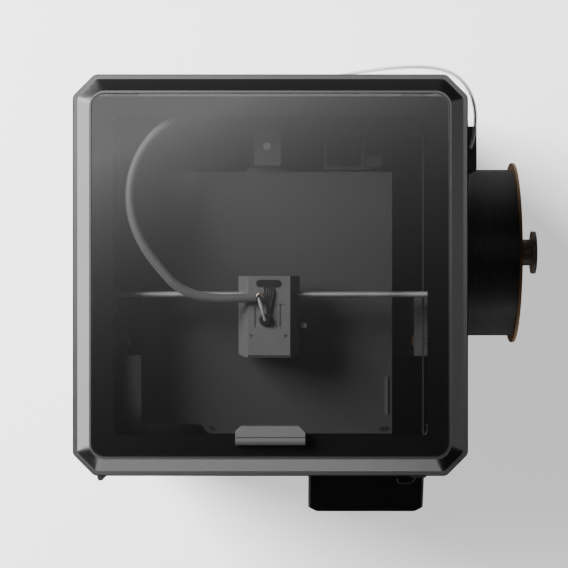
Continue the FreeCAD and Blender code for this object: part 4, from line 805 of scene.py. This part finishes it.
finish_node("power_supply", bare_metal("zinc_plate", (0.42, 0.43, 0.44), 0.4))
finish_node("mainboard", moulded_plastic("board_mask", 0.02, rough=0.35))
finish_node("power_inlet", moulded_plastic("inlet_plastic", 0.016, rough=0.4))
finish_node("rocker_switch", moulded_plastic("rocker_plastic", 0.02, rough=0.3))
finish_node("exhaust_fan_frame", chamber_plastic)
finish_node("exhaust_fan_rotor", moulded_plastic("fan_plastic", 0.014, rough=0.35))
finish_node("chamber_camera", moulded_plastic("camera_plastic", 0.015, rough=0.3))
LED_PITCH = 0.0083
led_gel = Finish("led_gel", {"Roughness": 0.35})
beads = led_gel.node("Math", {"operation": "SINE"}, {0: led_gel.axis("Y") * (math.tau / LED_PITCH)})
phosphor = led_gel.span(beads, 0.55, 0.8)
led_gel.set({"Base Color": led_gel.mix(phosphor, grey(0.55), (0.8, 0.72, 0.3, 1))})
finish_node("led_strip", led_gel)


# Spool: a card reel with a kraft-brown outer face, full of black filament, on a black holder
# with a wide cap. The black filament sensor stands over it on the side of the case.

card = Finish("reel_card", {"Roughness": 0.85})
fibres = card.noise(700, 4, 0.7, stretch=(1, 1, 0.25))
card_cloud = card.noise(30, 4)
card_tone = card.mix(card_cloud, (0.26, 0.145, 0.068, 1), (0.34, 0.2, 0.1, 1))
card.set({"Base Color": card.mix(fibres * 0.6, card_tone, (0.2, 0.11, 0.05, 1))})
card.bump(fibres, 0.0001, 0.6)
finish_node("spool_reel", card)

WRAP_PITCH = 0.00178
WRAP_POINTS = 6
CORE_RADIUS = 0.0403
AROUND_REEL = 120


def wound_filament(name, low, high):
    """Filament wound side by side: a ring whose outside has a ridge for each turn."""
    centre = (low + high) / 2
    reach = (high.z - low.z) / 2
    wraps = int((high.x - low.x) / WRAP_PITCH)
    pitch = (high.x - low.x) / wraps
    profile = [(low.x, CORE_RADIUS)]
    for point in range(wraps * WRAP_POINTS):
        part = (point + 0.5) / WRAP_POINTS
        ridge = math.sqrt(1 - (2 * (part % 1) - 1) ** 2)
        profile.append((low.x + part * pitch, reach - pitch * 0.4 * (1 - ridge)))
    profile.append((high.x, CORE_RADIUS))
    mesh = bpy.data.meshes.new(name)
    shape = bmesh.new()
    rings = []
    for x, radius in profile:
        ring = []
        for spoke in range(AROUND_REEL):
            angle = math.tau * spoke / AROUND_REEL
            place = (x, centre.y + radius * math.cos(angle), centre.z + radius * math.sin(angle))
            ring.append(shape.verts.new(place))
        rings.append(ring)
    join_rings(shape, rings + rings[:1], smooth=False)
    bmesh.ops.recalc_face_normals(shape, faces=shape.faces)
    shape.to_mesh(mesh)
    shape.free()
    return mesh


filament_plastic = moulded_plastic("filament_plastic", 0.085, rough=0.36)
winding = new_piece("wound_filament",
                    wound_filament("wound_filament", *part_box("filament_winding")), filament_plastic)
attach(winding, "spool")
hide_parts("filament_winding")
holder_plastic = moulded_plastic("holder_plastic", 0.1, rough=0.4)
finish_node("spool_holder", holder_plastic)
finish_node("filament_sensor", moulded_plastic("sensor_plastic", 0.014, rough=0.4))


# Screen: a tilted black glass touch panel in a grey moulded housing on a foot at the front.

finish_node("screen_housing", moulded_plastic("housing_plastic", 0.07, rough=0.4))
screen_black = Finish("screen_black", {"Specular IOR Level": 0.5})
screen_smears = screen_black.span(screen_black.noise(9, 5, 0.6), 0.45, 0.8)
screen_black.set({"Base Color": screen_black.mix(screen_smears, grey(0.008), grey(0.012)),
                  "Roughness": screen_smears * 0.05 + 0.03})
finish_node("screen_glass", screen_black)


# Screen reflection: a thin grey curve at the screen's upper right, a painted reflection of a curved
# highlight on the glossy glass. It stands on the glass and runs back under the case's front edge.

SCREEN_RISE = 0.594
PAINTED_REFLECTION_WIDE = 0.0013
glass_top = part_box("screen_glass")[1]


def on_screen(x, y):
    """A point that stands on the sloping glass."""
    return (x, y, glass_top.z + (y - glass_top.y) * SCREEN_RISE + PAINTED_REFLECTION_WIDE * 0.3)


painted_reflection_places = [(0.1490, -0.2415), (0.1492, -0.2455), (0.1525, -0.2472), (0.1600, -0.2474),
              (0.1655, -0.2468), (0.1692, -0.2435), (0.1712, -0.2390), (0.1716, -0.2330)]
# A thin grey tube on the glass that stands in for a reflection: painted reflection.
painted_reflection_arc = spline_of("screen_painted_reflection", [on_screen(x, y) for x, y in painted_reflection_places], PAINTED_REFLECTION_WIDE)
painted_reflection_arc.data.materials.append(moulded_plastic("painted_reflection_grey", 0.09, rough=0.35).material)
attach(painted_reflection_arc, "root")
